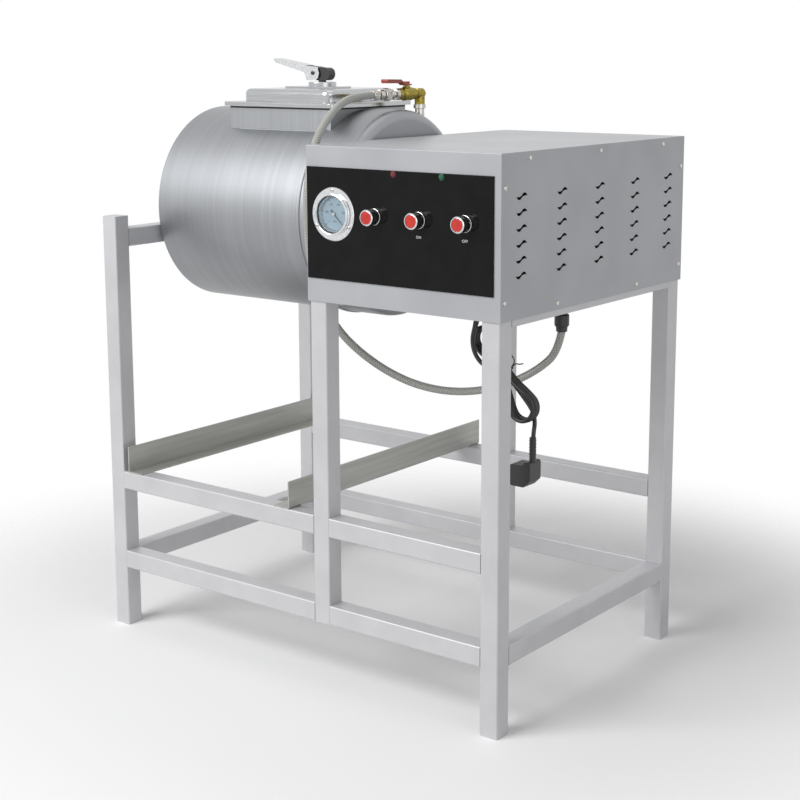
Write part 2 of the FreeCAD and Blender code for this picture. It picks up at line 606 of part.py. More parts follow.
neck = newBody("lid_neck", (mouthX, 0, d.axisHeight))
neckX, neckY, neckZ = d.neckLength / 2, d.neckWidth / 2, d.drumRadius + d.neckRise
sk = newSketch(neck, "XY")
addBox(sk, -neckX, -neckY, neckX, neckY)
addBox(sk, d.neckWall - neckX, d.neckWall - neckY, neckX - d.neckWall, neckY - d.neckWall)
pad(neck, sk, neckZ)
sk = newSketch(neck, "XY", neckZ - d.neckRise)
addBox(sk, -neckX, -neckY, neckX, neckY)
addBox(sk, d.neckRim - neckX, d.neckRim - neckY, neckX - d.neckRim, neckY - d.neckRim)
pad(neck, sk, d.neckRise)
holes(neck, "YZ", 0, [(0, 0, d.drumRadius)], both=True)

paddles = newBody("drum_paddles", (drumLeft + (d.shellLength - d.paddleLength) / 2, 0, d.axisHeight), "X")
sk = newSketch(paddles, "XY")
root = inside - d.paddleSheet * 0.4
addLoop(sk, [(root - d.paddleHeight, -d.paddleSheet / 2), (root, -d.paddleSheet / 2), (root, d.paddleSheet * 6),
             (root - d.paddleSheet, d.paddleSheet * 6), (root - d.paddleSheet, d.paddleSheet / 2),
             (root - d.paddleHeight, d.paddleSheet / 2)])
first = pad(paddles, sk, d.paddleLength)
ring = paddles.newObject("PartDesign::PolarPattern", "ring")
ring.Originals = [first]
ring.Axis = (sk, ["N_Axis"])
ring.Angle = 360
ring.Occurrences = 3
paddles.Tip = ring
doc.recompute()

# ---- shafts and bearings --------------------------------------------------------------------
hub = d.hubFlange / 2
stubEnd = d.headRecess + d.drumGap + d.tube - 2
lathe("left_stub_shaft", [(0, 0), (hub, 0), (hub, d.hubSheet - 1), (hub - 1, d.hubSheet), (d.stubShaft / 2 + 5, d.hubSheet),
      (d.stubShaft / 2, d.hubSheet + 5), (d.stubShaft / 2, stubEnd - 1), (d.stubShaft / 2 - 1, stubEnd), (0, stubEnd)],
      (drumLeft + d.headRecess, 0, d.axisHeight), "-X")
gearLeft = wallLeft + 58                                # gearbox behind the drive bearing
shaftEnd = gearLeft + 66 - capEnd
lathe("drive_shaft", [(0, 0), (hub, 0), (hub, d.hubSheet - 1), (hub - 1, d.hubSheet), (d.driveShaft / 2, d.hubSheet),
      (d.driveShaft / 2, shaftEnd - 1), (d.driveShaft / 2 - 1, shaftEnd), (0, shaftEnd)],
      (capEnd, 0, d.axisHeight), "X")


def pillowBlock(label, x, height, shaft):
    """A cast bearing block on its foot: the housing's ring, a tapered web and slotted foot."""
    made = newBody(label, (x, 0, d.axisHeight))
    foot, ring, half = d.blockFoot / 2, shaft / 2 + 17, d.blockWidth / 2
    sk = newSketch(made, "YZ")
    addLoop(sk, [(-foot, -height), (foot, -height), (foot, 12 - height), (foot * 0.62, 15 - height), (ring, -2),
                 (-ring, -2), (-foot * 0.62, 15 - height), (-foot, 12 - height)])
    pad(made, sk, d.blockWidth - 4, both=True)
    sk = newSketch(made, "YZ")
    addCircle(sk, 0, 0, ring)
    pad(made, sk, d.blockWidth, both=True)
    holes(made, "YZ", 0, [(0, 0, shaft / 2 + d.running)], both=True)
    holes(made, "XY", -height, [(0, side * foot * 0.8, 5.5) for side in (-1, 1)], depth=height, back=True)
    return made


pillowBlock("bearing_block", -legX, d.blockHeight, d.stubShaft)
pillowBlock("drive_bearing", gearLeft - 26, d.driveHeight - d.floorSheet, d.driveShaft)

# gear motor: worm gearbox with a hollow shaft on a foot, flanged motor behind it
boxHalf, rise = 52, d.driveHeight - d.floorSheet
gear = newBody("gear_motor", (gearLeft, 0, d.axisHeight))
sk = newSketch(gear, "YZ")
addLoop(sk, [(-70, -rise), (70, -rise), (70, 12 - rise), (boxHalf, 14 - rise), (boxHalf, 40), (boxHalf - 12, boxHalf),
             (12 - boxHalf, boxHalf), (-boxHalf, 40), (-boxHalf, 14 - rise), (-70, 12 - rise)])
pad(gear, sk, 96)
for lift, radius, length in ((96, 62, 10), (106, 56, 150), (256, 50, 34)):
    sk = newSketch(gear, "YZ", lift)
    addCircle(sk, 0, 0, radius)
    pad(gear, sk, length)
holes(gear, "YZ", 0, [(0, 0, d.driveShaft / 2 + d.running)], depth=70, back=True)

# vacuum pump: a base, a barrel along X with end covers, and an outlet filter
pump = newBody("vacuum_pump", (wallRight - 215, wallFront - 120, seat + d.floorSheet))
sk = newSketch(pump, "XY")
addBox(sk, 0, -55, 190, 55)
pad(pump, sk, 10)
for lift, radius, length in ((6, 50, 12), (18, 46, 150), (168, 50, 12)):
    sk = newSketch(pump, "YZ", lift)
    addCircle(sk, 0, 58, radius)
    pad(pump, sk, length)
sk = newSketch(pump, "XY", 60)
addCircle(sk, 60, 0, 14)
pad(pump, sk, 80)

# ---- lid and its clamp ----------------------------------------------------------------------
seal = newBody("lid_gasket", (mouthX, 0, neckTop))
sk = newSketch(seal, "XY")
addBox(sk, -neckX, -neckY, neckX, neckY)
addBox(sk, d.neckRim - neckX, d.neckRim - neckY, neckX - d.neckRim, neckY - d.neckRim)
pad(seal, sk, d.gasket)

lidFoot = neckTop + d.gasket
boxTop = d.lidFlange + d.lidBox
headX = mouthX + d.clampOffset
lid = newBody("lid_cover", (mouthX, 0, lidFoot))
lidX, lidY = d.lidLength / 2, d.lidWidth / 2
sk = newSketch(lid, "XY")
addBox(sk, -lidX, -lidY, lidX, lidY)
pad(lid, sk, d.lidFlange)
fillet(lid, 9, localEdges(lid, upright))
fillet(lid, 2.2, localEdges(lid, lambda a, b: a.z > 1 and b.z > 1))
sk = newSketch(lid, "XY", d.lidFlange - 1)
addBox(sk, d.lidMargin - lidX, d.lidMargin - lidY, lidX - d.lidMargin, lidY - d.lidMargin)
pad(lid, sk, d.lidBox + 1)
fillet(lid, d.lidRound + 6, localEdges(lid, lambda a, b: upright(a, b) and max(a.z, b.z) > float(boxTop) - 1))
fillet(lid, d.lidRound, localEdges(lid, lambda a, b: min(a.z, b.z) > float(boxTop) - 0.01))
for wall, depth in ((d.lidMargin + d.lidSheet * 3, boxTop - d.lidRound), (d.lidMargin + d.lidRound, boxTop - d.lidSheet)):
    sk = newSketch(lid, "XY")                           # hollow below, stepped in under the rounded edge
    addBox(sk, wall - lidX, wall - lidY, lidX - wall, lidY - wall)
    pocket(lid, sk, depth, back=True)
    fillet(lid, d.lidRound * 0.75, localEdges(lid, lambda a, b: upright(a, b) and abs(abs(a.x) + float(wall - lidX)) < 0.01
                                              and abs(abs(a.y) + float(wall - lidY)) < 0.01))
sk = newSketch(lid, "XY", boxTop)                       # riveted plate and plinth under the clamp
addBox(sk, d.clampOffset - 76, -30, d.clampOffset + 52, 30)
pad(lid, sk, 3.5)
sk = newSketch(lid, "XY", boxTop)
addCircle(sk, d.clampOffset, 0, d.plinth / 2)
pad(lid, sk, 13)
fillet(lid, 2, ringEdge(lid, d.plinth / 2, boxTop + 13))
holes(lid, "XY", 0, [(d.clampOffset, 0, d.spindle / 2 + 0.1)], back=True)

plinthTop = lidFoot + boxTop + 13
pinX, pinZ = headX - d.pinSetback, plinthTop + d.pinRise
clamp = newBody("clamp_head", (headX, 0, plinthTop))
headEnd = d.clampHead / 2
sk = newSketch(clamp, "XZ")
addLoop(sk, [(-d.pinSetback, d.pinRise - 15), (14, 3), (14, 3 + d.clampHead), (-d.pinSetback, 3 + d.clampHead)])
pad(clamp, sk, d.clampWidth, both=True)
sk = newSketch(clamp, "XZ")
addCircle(sk, 14, 3 + headEnd, headEnd)
pad(clamp, sk, d.clampWidth, both=True)
sk = newSketch(clamp, "XZ")
addCircle(sk, -d.pinSetback, d.pinRise, 13)
pad(clamp, sk, d.clampWidth, both=True)
nutFoot = -(13 + d.lidSheet + 9)                        # spindle through the lid to a nut inside
sk = newSketch(clamp, "XY", nutFoot - 5)
addCircle(sk, 0, 0, d.spindle / 2)
pad(clamp, sk, 12 - nutFoot)
sk = newSketch(clamp, "XY", nutFoot)
addCircle(sk, 0, 0, d.spindle / 2 + 9)
pad(clamp, sk, 9)
sk = newSketch(clamp, "XZ")
addCircle(sk, -d.pinSetback, d.pinRise, d.clampPin / 2)
pad(clamp, sk, d.leverWidth + 9, both=True)

lever = newBody("clamp_lever", (pinX, 0, pinZ))
cheeks = d.leverWidth + 2 * d.leverSheet
sk = newSketch(lever, "XZ")                             # the two cheeks either side of the head
addLoop(sk, [(-17, -15), (8, -15), (14, -9), (16.5, 0), (12, 12), (-20, 15), (-25, 4)])
pad(lever, sk, cheeks, both=True)
sk = newSketch(lever, "XZ")                             # channel of the handle, out to the tip
addLoop(sk, [(-19, 0), (-19, 15), (-26, 17), (-d.leverReach, 30), (-d.leverReach - 1, 27),
             (-d.leverReach + 5, 21), (-26, 2)])
pad(lever, sk, cheeks, both=True)
sk = newSketch(lever, "XZ")                             # hollow under the channel's web
addLoop(sk, [(20, -20), (20, 20), (-21, 20), (-22, 13), (-d.leverReach + 5, 26.5), (-d.leverReach + 5, -20)])
pocket(lever, sk, d.leverWidth, both=True)
sk = newSketch(lever, "XZ")
for i in range(4):
    addCircle(sk, -44 - 15 * i, 1.2 + 4.2 * i, 5.2)
pocket(lever, sk, both=True)
holes(lever, "XZ", 0, [(0, 0, d.clampPin / 2 + d.running)], both=True)

# ---- vacuum valve on the drum ---------------------------------------------------------------
valveZ = d.axisHeight + d.valveRise
pipe, leg = d.standpipe / 2, 22
pipeFoot = d.drumRadius - 34                            # inner end above the drum axis
lathe("valve_standpipe", [(pipe - 3, 0), (pipe, 0), (pipe, d.valveRise - leg - 9 - pipeFoot),
      (pipe + 3, d.valveRise - leg - 8 - pipeFoot), (pipe + 3, d.valveRise - leg - pipeFoot),
      (pipe - 3, d.valveRise - leg - pipeFoot)], (valveX, d.standpipeY, d.axisHeight + pipeFoot), "Z")

elbow, stem = d.elbow / 2, d.valveStem / 2
valve = lathe("valve_body", [(0, -elbow), (elbow * 0.75, -elbow), (elbow, -elbow * 0.6), (elbow, 14), (elbow - 2, 15),
              (elbow - 2, 20), (elbow + 1.2, 21), (elbow + 1.2, 29), (elbow + 3, 33), (elbow + 3, 55),
              (elbow + 0.5, 59), (elbow - 1, 60), (elbow - 1, 65), (elbow + 1.2, 66), (elbow + 1.2, d.valveLength),
              (0, d.valveLength)], (valveX, d.standpipeY, valveZ), "-Y")
sk = newSketch(valve, "XZ")
addCircle(sk, 0, 0, elbow)
pad(valve, sk, leg)
sk = newSketch(valve, "XZ")
addCircle(sk, 0, d.stemY, stem + 3.5)
pad(valve, sk, elbow + 6, back=True)
holes(valve, "XZ", -(elbow + 6), [(0, d.stemY, stem + d.running)], depth=8, back=True)

handle = newBody("valve_lever", (valveX, d.standpipeY - d.stemY, valveZ))
sk = newSketch(handle, "XY", elbow - 1)
addCircle(sk, 0, 0, stem)
pad(handle, sk, 14)
sk = newSketch(handle, "YZ")
addLoop(sk, [(8, 17.2), (8, 19.8), (-11, 19.8), (-25, 27.6), (-d.handleReach, 28.4), (-d.handleReach, 25.8),
             (-26, 25), (-12, 17.2)])
pad(handle, sk, d.handleWidth, both=True)
sk = newSketch(handle, "YZ")                            # dipped grip
addLoop(sk, [(-27, 24), (-27, 29.2), (-d.handleReach + 1, 30.2), (-d.handleReach - 1, 27), (-d.handleReach + 1, 22.2),
             (-40, 21.8)])
pad(handle, sk, d.handleWidth + 2, both=True)
sk = newSketch(handle, "XY", 19.8)
addCircle(sk, 0, 0, 6.4)
pad(handle, sk, 5)

socketY = d.standpipeY - d.valveLength
socket = d.coupler / 2
lathe("coupler_socket", [(0, 0), (socket + 2.5, 0), (socket + 2.5, 9), (socket - 1.5, 10), (socket - 1.5, 14),
      (socket, 14.5), (socket, d.couplerLength), (6.1, d.couplerLength), (6.1, d.couplerLength - 14),
      (0, d.couplerLength - 14)], (valveX, socketY, valveZ), "-Y")
sleeveStart = d.couplerLength - d.sleeveLength - 2
grip = d.sleeve / 2
lathe("coupler_sleeve", [(socket + 0.3, sleeveStart), (grip - 0.8, sleeveStart), (grip, sleeveStart + 0.8),
      (grip, sleeveStart + 4), (grip - 1, sleeveStart + 5), (grip - 1, sleeveStart + 7), (grip, sleeveStart + 8),
      (grip, sleeveStart + d.sleeveLength - 1), (grip - 1, sleeveStart + d.sleeveLength),
      (socket + 0.3, sleeveStart + d.sleeveLength)], (valveX, socketY, valveZ), "-Y")
plugLength = 32
lathe("hose_plug", [(0, -13), (6, -13), (6, 0.2), (10.5, 0.2), (10.5, 12), (7.2, 12.6), (7.2, 15), (10, 15.6),
      (10, plugLength - 1), (9, plugLength), (0, plugLength)], (valveX, socketY - d.couplerLength, valveZ), "-Y")

# ---- services under the cabinet -------------------------------------------------------------
drop = d.suctionDrop
lathe("suction_fitting", [(0, -11), (9, -11), (9, -8), (13, -8), (13, -d.floorSheet), (9, -d.floorSheet), (9, 0),
      (13.5, 0), (13.5, 10), (8.5, 11), (8.5, drop - 34), (12.5, drop - 33), (14, drop - 31), (14, drop - 12),
      (11, drop - 8), (10.5, drop), (0, drop)], (d.suctionX, d.suctionY, seat), "-Z")
thread = d.glandThread / 2
lathe("cable_gland", [(0, -8), (thread + 4, -8), (thread + 4, -d.floorSheet), (thread, -d.floorSheet), (thread, 0),
      (thread + 4.5, 0), (thread + 4.5, 7), (thread + 2, 9), (thread + 1, 16), (thread - 1, 20), (thread - 3, 38),
      (0, 38)], (d.glandX, d.glandY, seat), "-Z")


def tubeAlong(route, radius, name):
    """A cord's solid: straight runs joined by tangent arcs, each as large as its two runs allow."""
    v = [Vector(*p) for p in route]
    edges, at, radii, length = [], v[0], [], 0.0
    for i in range(1, len(v) - 1):
        a, b = (v[i] - v[i - 1]), (v[i + 1] - v[i])
        turn = a.getAngle(b)
        run = 0.45 * min(a.Length, b.Length)
        radii.append(run / math.tan(turn / 2))
        a.normalize()
        b.normalize()
        start, end = v[i] - a * run, v[i] + b * run
        towards = b - a
        towards.normalize()
        middle = v[i] + towards * (radii[-1] / math.cos(turn / 2) - radii[-1])
        edges.append(Part.LineSegment(at, start).toShape())
        edges.append(Part.Arc(start, middle, end).toShape())
        length += (start - at).Length + radii[-1] * turn
        at = end
    edges.append(Part.LineSegment(at, v[-1]).toShape())
    length += (v[-1] - at).Length
    spine = Part.Wire(edges)
    ring = Part.Wire([Part.makeCircle(radius, v[0], v[1] - v[0])])
    solid = spine.makePipeShell([ring], True, True)
    print(name, "length %.0f" % length, "least radius %.0f" % min(radii), "at %d" % (radii.index(min(radii)) + 1),
          "volume ratio %.4f" % (solid.Volume / (math.pi * radius ** 2 * length)))
    return solid


def cordNode(label, solids):
    piece = doc.addObject("Part::Feature", label)
    piece.Label = label
    piece.Shape = solids[0] if len(solids) == 1 else Part.makeCompound(solids)
    parts.append(piece)
    return piece


HOSE_ROUTE = [(20, -72, 1128), (21, -122, 1127), (29, -176, 1117), (38, -226, 1092), (44, -268, 1056),
              (48, -294, 1006), (49, -305, 944), (48, -302, 874), (47, -289, 806), (50, -264, 742),
              (63, -234, 686), (92, -204, 642), (133, -172, 604), (182, -142, 578), (236, -109, 566),
              (292, -77, 570), (347, -50, 590), (394, -32, 620), (425, -22, 653), (432, -20, 693)]
CORD_ROUTE = [(380, -222, 744), (374, -225, 722), (371, -227, 699), (377, -228, 677), (391, -226, 659),
              (410, -219, 648)]
LEAD_ROUTE = [(483, -205, 574), (489, -205, 554), (490, -205, 533)]
cordNode("suction_hose", [tubeAlong(HOSE_ROUTE, d.hose.value / 2, "suction hose")])
cordNode("mains_cord", [tubeAlong(CORD_ROUTE, d.cord.value / 2, "mains cord"),
                        tubeAlong(LEAD_ROUTE, d.cord.value / 2, "mains lead")])

# the tied hank of the mains cord: two lobes with a waist at its tie, leaning down to the right
low, high, waist = (470, 586, 25), (386, 699, 26), 15
hank = newBody("cord_hank", (0, -205, 0))
for x, z, r in (low, high):
    sk = newSketch(hank, "XZ")
    addCircle(sk, x, z, r)
    pad(hank, sk, 24, both=True)
along = Vector(high[0] - low[0], 0, high[1] - low[1]).normalize()
side = Vector(-along.z, 0, along.x)
middle = Vector((low[0] + high[0]) / 2, 0, (low[1] + high[1]) / 2)
low, high = Vector(low[0], 0, low[1]), Vector(high[0], 0, high[1])
outline = [low - side * 24, middle - side * waist, high - side * 25, high + side * 25, middle + side * waist,
           low + side * 24]
sk = newSketch(hank, "XZ")
addLoop(sk, [(p.x, p.z) for p in outline])
pad(hank, sk, 24, both=True)

# right-angled plug: moulded body, sleeve on top, two round pins to the left
plug = newBody("mains_plug", (474, -205, 464))
sk = newSketch(plug, "XZ")
addLoop(sk, [(-22, -21), (8, -21), (21, -8), (21, 26), (9, 26), (5, 19), (-22, 19)])
pad(plug, sk, 36, both=True)
fillet(plug, 5, localEdges(plug, lambda a, b: abs(a.x - b.x) < 1e-3 and abs(a.z - b.z) < 1e-3))
sk = newSketch(plug, "XY", 20)
addCircle(sk, 15, 0, 6)
pad(plug, sk, 49)
sk = newSketch(plug, "YZ", -22)
for y in (-9.5, 9.5):
    addCircle(sk, y, -2, 2.4)
pad(plug, sk, 19, back=True)

# ---- check and write ------------------------------------------------------------------------
doc.recompute()
for thing in doc.Objects:
    if "Invalid" in thing.State or "Error" in thing.State:
        raise ValueError("%s did not build: %s" % (thing.Label, thing.State))
os.makedirs("parts", exist_ok=True)
labels = [p.Label for p in parts]
if len(set(labels)) != len(labels):
    raise ValueError("two pieces share a name")
for piece in parts:
    if piece.Shape.isNull() or not piece.Shape.isValid() or not piece.Shape.Solids:
        raise ValueError("%s is not a valid solid" % piece.Label)
    piece.Shape.exportStep("parts/%s.step" % piece.Label)
print(len(parts), "pieces written")
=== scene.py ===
# Meat vacuum tumbler: looks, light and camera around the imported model. Metres, +Z up.
import math
import bmesh
import bpy
from mathutils import Matrix, Vector


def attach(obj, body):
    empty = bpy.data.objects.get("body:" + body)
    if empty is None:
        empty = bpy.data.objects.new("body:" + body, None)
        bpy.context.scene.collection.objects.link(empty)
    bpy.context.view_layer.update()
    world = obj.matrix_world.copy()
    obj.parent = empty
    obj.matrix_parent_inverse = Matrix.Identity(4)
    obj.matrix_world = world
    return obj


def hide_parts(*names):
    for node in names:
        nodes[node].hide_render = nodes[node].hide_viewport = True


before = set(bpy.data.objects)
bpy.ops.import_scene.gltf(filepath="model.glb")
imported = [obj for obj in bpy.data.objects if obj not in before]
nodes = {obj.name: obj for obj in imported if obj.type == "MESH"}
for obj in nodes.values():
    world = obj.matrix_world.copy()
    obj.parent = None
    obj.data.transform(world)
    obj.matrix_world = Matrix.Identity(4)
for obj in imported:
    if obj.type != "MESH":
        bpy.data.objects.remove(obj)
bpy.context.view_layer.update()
scene = bpy.context.scene
scene.view_settings.view_transform = "Standard"
millimetre = 0.001
print("frame loaded:", len(nodes), "nodes")

# camera, level with the top of the machine and looking down a little
cameraSet = {"place": (1.9637, -2.5097, 1.2182), "turn": 37.579, "down": 10.174, "roll": -0.207,
             "lens": 70.59, "shift": -0.0875}
camera = bpy.data.objects.new("camera", bpy.data.cameras.new("camera"))
scene.collection.objects.link(camera)
camera.matrix_world = (Matrix.Translation(cameraSet["place"])
                       @ Matrix.Rotation(math.radians(cameraSet["turn"]), 4, "Z")
                       @ Matrix.Rotation(math.radians(90 - cameraSet["down"]), 4, "X")
                       @ Matrix.Rotation(math.radians(cameraSet["roll"]), 4, "Z"))
camera.data.lens = cameraSet["lens"]
camera.data.sensor_width = 36
camera.data.shift_y = cameraSet["shift"]
camera.data.clip_end = 60
scene.camera = camera


def linear(code):  # sRGB hex to linear
    channels = [int(code[i:i + 2], 16) / 255 for i in (1, 3, 5)]
    return [c / 12.92 if c <= 0.04045 else ((c + 0.055) / 1.055) ** 2.4 for c in channels] + [1.0]


def addNode(tree, kind, settings=None, inputs=None, stops=None, output=0):  # one shader node, its settings and links
    made = tree.nodes.new(kind)
    for key, value in (settings or {}).items():
        setattr(made, key, value)
    for stop, (position, code) in zip(made.color_ramp.elements if stops else [], stops or []):
        stop.position, stop.color = position, linear(code)
    for key, value in (inputs or {}).items():
        if isinstance(value, bpy.types.NodeSocket):
            tree.links.new(value, made.inputs[key])
        else:
            made.inputs[key].default_value = value
    return made.outputs[output] if made.outputs else made


def newFinish(name, **sockets):  # a Principled material with plain values on its sockets
    made = bpy.data.materials.new(name)
    made.use_nodes = True
    shader = made.node_tree.nodes["Principled BSDF"]
    for key, value in sockets.items():
        shader.inputs[key.replace("_", " ")].default_value = linear(value) if isinstance(value, str) else value
    return made, made.node_tree, shader.inputs


def dress(material, *names):  # puts a material on CAD nodes
    for name in names:
        nodes[name].data.materials.clear()
        nodes[name].data.materials.append(material)


def routeLine(name, points):  # the smooth line of a cord through its route
    curve = bpy.data.curves.new(name, "CURVE")
    curve.dimensions = "3D"
    curve.resolution_u = 14
    spline = curve.splines.new("NURBS")
    spline.points.add(len(points) - 1)
    for spot, point in zip(spline.points, points):
        spot.co = (*[c * millimetre for c in point], 1)
    spline.order_u = 3
    spline.use_endpoint_u = True
    made = bpy.data.objects.new(name, curve)
    scene.collection.objects.link(made)
    return made


def linePoints(line):  # points along a line that has no bevel yet
    mesh = bpy.data.meshes.new_from_object(line.evaluated_get(bpy.context.evaluated_depsgraph_get()))
    found = [v.co.copy() for v in mesh.vertices]
    bpy.data.meshes.remove(mesh)
    return found


def lengthOf(points):
    return sum((b - a).length for a, b in zip(points, points[1:]))


def meshPiece(name, body, vertices, faces, material, smooth=True):
    mesh = bpy.data.meshes.new(name)
    mesh.from_pydata([tuple(v) for v in vertices], [], faces)
    mesh.update()
    mesh.materials.append(material)
    mesh.polygons.foreach_set("use_smooth", [smooth] * len(mesh.polygons))
    made = bpy.data.objects.new(name, mesh)
    scene.collection.objects.link(made)
    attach(made, body)
    return made


def sweepTube(name, body, points, radius, material, around=20):  # tube with UVs: u around it, v along it in metres
    rings, along, walked = [], [], 0.0
    side = (points[1] - points[0]).normalized().orthogonal().normalized()
    for i, point in enumerate(points):
        ahead = (points[min(i + 1, len(points) - 1)] - points[max(i - 1, 0)]).normalized()
        side = (side - ahead * side.dot(ahead)).normalized()
        across = ahead.cross(side)
        walked += (point - points[i - 1]).length if i else 0.0
        along.append(walked)
        rings += [point + (side * math.cos(a) + across * math.sin(a)) * radius
                  for a in [2 * math.pi * k / around for k in range(around)]]
    faces = [[i * around + k, i * around + (k + 1) % around,
              (i + 1) * around + (k + 1) % around, (i + 1) * around + k]
             for i in range(len(points) - 1) for k in range(around)]
    made = meshPiece(name, body, rings, faces, material)
    layer = made.data.uv_layers.new(name="along")
    for face in made.data.polygons:
        i, k = divmod(face.index, around)
        for corner, (u, v) in zip(face.loop_indices, ((k, i), (k + 1, i), (k + 1, i + 1), (k, i + 1))):
            layer.data[corner].uv = (u / around, along[v])
    return made


def turnedPiece(name, body, outline, place, way, material, around=32, sharp=30):  # outline: (radius, height) in mm
    turn = Vector((0, 0, 1)).rotation_difference(Vector(way)).to_matrix().to_4x4()
    place = Matrix.Translation([c * millimetre for c in place]) @ turn
    mesh, rows = bmesh.new(), []
    for radius, height in outline:
        if radius < 1e-6:
            rows.append([mesh.verts.new((0, 0, height * millimetre))])
            continue
        rows.append([mesh.verts.new((radius * millimetre * math.cos(a), radius * millimetre * math.sin(a),
                                     height * millimetre))
                     for a in [2 * math.pi * k / around for k in range(around)]])
    for low, high in zip(rows, rows[1:]):
        for k in range(around):
            a, b = low[k % len(low)], low[(k + 1) % around % len(low)]
            c, d = high[(k + 1) % around % len(high)], high[k % len(high)]
            mesh.faces.new([v for i, v in enumerate((a, b, c, d)) if v not in (a, b, c, d)[:i]])
    mesh.transform(place)
    bmesh.ops.recalc_face_normals(mesh, faces=mesh.faces)
    made = bpy.data.meshes.new(name)
    mesh.to_mesh(made)
    mesh.free()
    made.materials.append(material)
    made.polygons.foreach_set("use_smooth", [True] * len(made.polygons))
    made.set_sharp_from_angle(angle=math.radians(sharp))
    piece = bpy.data.objects.new(name, made)
    scene.collection.objects.link(piece)
    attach(piece, body)
    return piece


def joinPieces(name, body, pieces):  # one object out of several small ones
    mesh, mats = bmesh.new(), []
    for piece in pieces:
        start = len(mesh.faces)
        mesh.from_mesh(piece.data)
        mesh.faces.ensure_lookup_table()
        material = piece.data.materials[0]
        if material not in mats:
            mats.append(material)
        for face in mesh.faces[start:]:
            face.material_index = mats.index(material)
        bpy.data.objects.remove(piece)
    made = bpy.data.meshes.new(name)
    mesh.to_mesh(made)
    mesh.free()
    for material in mats:
        made.materials.append(material)
    piece = bpy.data.objects.new(name, made)
    scene.collection.objects.link(piece)
    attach(piece, body)
    return piece


def flatText(name, body, text, size, place, material, lift=0.12):  # raised print, read from the front
    curve = bpy.data.curves.new(name, "FONT")
    curve.body, curve.size, curve.align_x, curve.align_y = text, size * millimetre, "CENTER", "CENTER"
    curve.extrude = lift * millimetre
    source = bpy.data.objects.new(name, curve)
    scene.collection.objects.link(source)
    source.matrix_world = (Matrix.Translation([c * millimetre for c in place]) @ Matrix.Rotation(math.pi / 2, 4, "X"))
    bpy.context.view_layer.update()
    mesh = bpy.data.meshes.new_from_object(source.evaluated_get(bpy.context.evaluated_depsgraph_get()))
    mesh.transform(source.matrix_world)
    bpy.data.objects.remove(source)
    mesh.materials.clear()
    mesh.materials.append(material)
    made = bpy.data.objects.new(name, mesh)
    scene.collection.objects.link(made)
    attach(made, body)
    return made


# hose: clear PVC with a braid between its layers, so it looks grey and a little cloudy
hoseSet = {"diameter": 15, "braidTurn": 26, "strands": 5, "clear": "#C9C9C3", "thread": "#8F8F88"}
hosePvc, tree, sockets = newFinish("reinforced clear PVC hose, extruded", Roughness=0.28, IOR=1.53)
sockets["Transmission Weight"].default_value = 0.22
splitter = addNode(tree, "ShaderNodeSeparateXYZ",
                   inputs={0: addNode(tree, "ShaderNodeUVMap", {"uv_map": "along"})}).node
threads = []
for way in (1, -1):  # two sets of threads that cross
    wind = addNode(tree, "ShaderNodeMath", {"operation": "MULTIPLY"},
                   {0: splitter.outputs["Y"], 1: way * hoseSet["strands"] / (hoseSet["braidTurn"] * millimetre)})
    turn = addNode(tree, "ShaderNodeMath", {"operation": "MULTIPLY_ADD"},
                   {0: splitter.outputs["X"], 1: float(hoseSet["strands"]), 2: wind})
    wave = addNode(tree, "ShaderNodeMath", {"operation": "PINGPONG"}, {0: turn, 1: 0.5})
    threads.append(addNode(tree, "ShaderNodeMath", {"operation": "LESS_THAN"}, {0: wave, 1: 0.09}))
braid = addNode(tree, "ShaderNodeMath", {"operation": "MAXIMUM"}, {0: threads[0], 1: threads[1]})
cloudy = addNode(tree, "ShaderNodeValToRGB", inputs={0: braid}, stops=[(0, hoseSet["clear"]), (1, hoseSet["thread"])])
tree.links.new(cloudy, sockets["Base Color"])
hoseRoute = [(432, -20, 693), (425, -22, 653), (394, -32, 620), (347, -50, 590), (292, -77, 570), (236, -109, 566),
             (182, -142, 578), (133, -172, 604), (92, -204, 642), (63, -234, 686), (50, -264, 742), (47, -289, 806),
             (48, -302, 874), (49, -305, 944), (48, -294, 1006), (44, -268, 1056), (38, -226, 1092), (29, -176, 1117),
             (21, -122, 1127), (20, -72, 1128)]
hoseLine = routeLine("hoseLine", hoseRoute)
hosePath = linePoints(hoseLine)
bpy.data.objects.remove(hoseLine)
hose = sweepTube("suctionHose", "stand", hosePath, hoseSet["diameter"] / 2 * millimetre, hosePvc)
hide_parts("suction_hose")

# mains cord: PVC sheathed cable wound into a hank of three turns, tied at its waist
cordSet = {"diameter": 8, "low": (470, 586), "high": (386, 699), "depth": -217, "step": 8.3,
           "lobes": ((23.8, 23.6), (24.4, 24.0), (23.6, 24.4)), "waist": (6.2, 6.8, 6.4)}
cordPvc, tree, sockets = newFinish("black PVC sheathed cable, extruded", Roughness=0.42, IOR=1.5)
grain = addNode(tree, "ShaderNodeTexNoise", inputs={"Scale": 900.0, "Detail": 2.0})  # dull patches of about 1 mm
tree.links.new(addNode(tree, "ShaderNodeValToRGB", inputs={0: grain}, stops=[(0.3, "#131313"), (0.75, "#232323")]),
               sockets["Base Color"])
low, high = Vector((cordSet["low"][0], 0, cordSet["low"][1])), Vector((cordSet["high"][0], 0, cordSet["high"][1]))
run = (high - low).normalized()
side = Vector((-run.z, 0, run.x))
half = (high - low).length / 2
middle = (low + high) / 2


def hankSpot(s, t, depth):
    spot = middle + run * s + side * t
    return (spot.x, depth, spot.z)


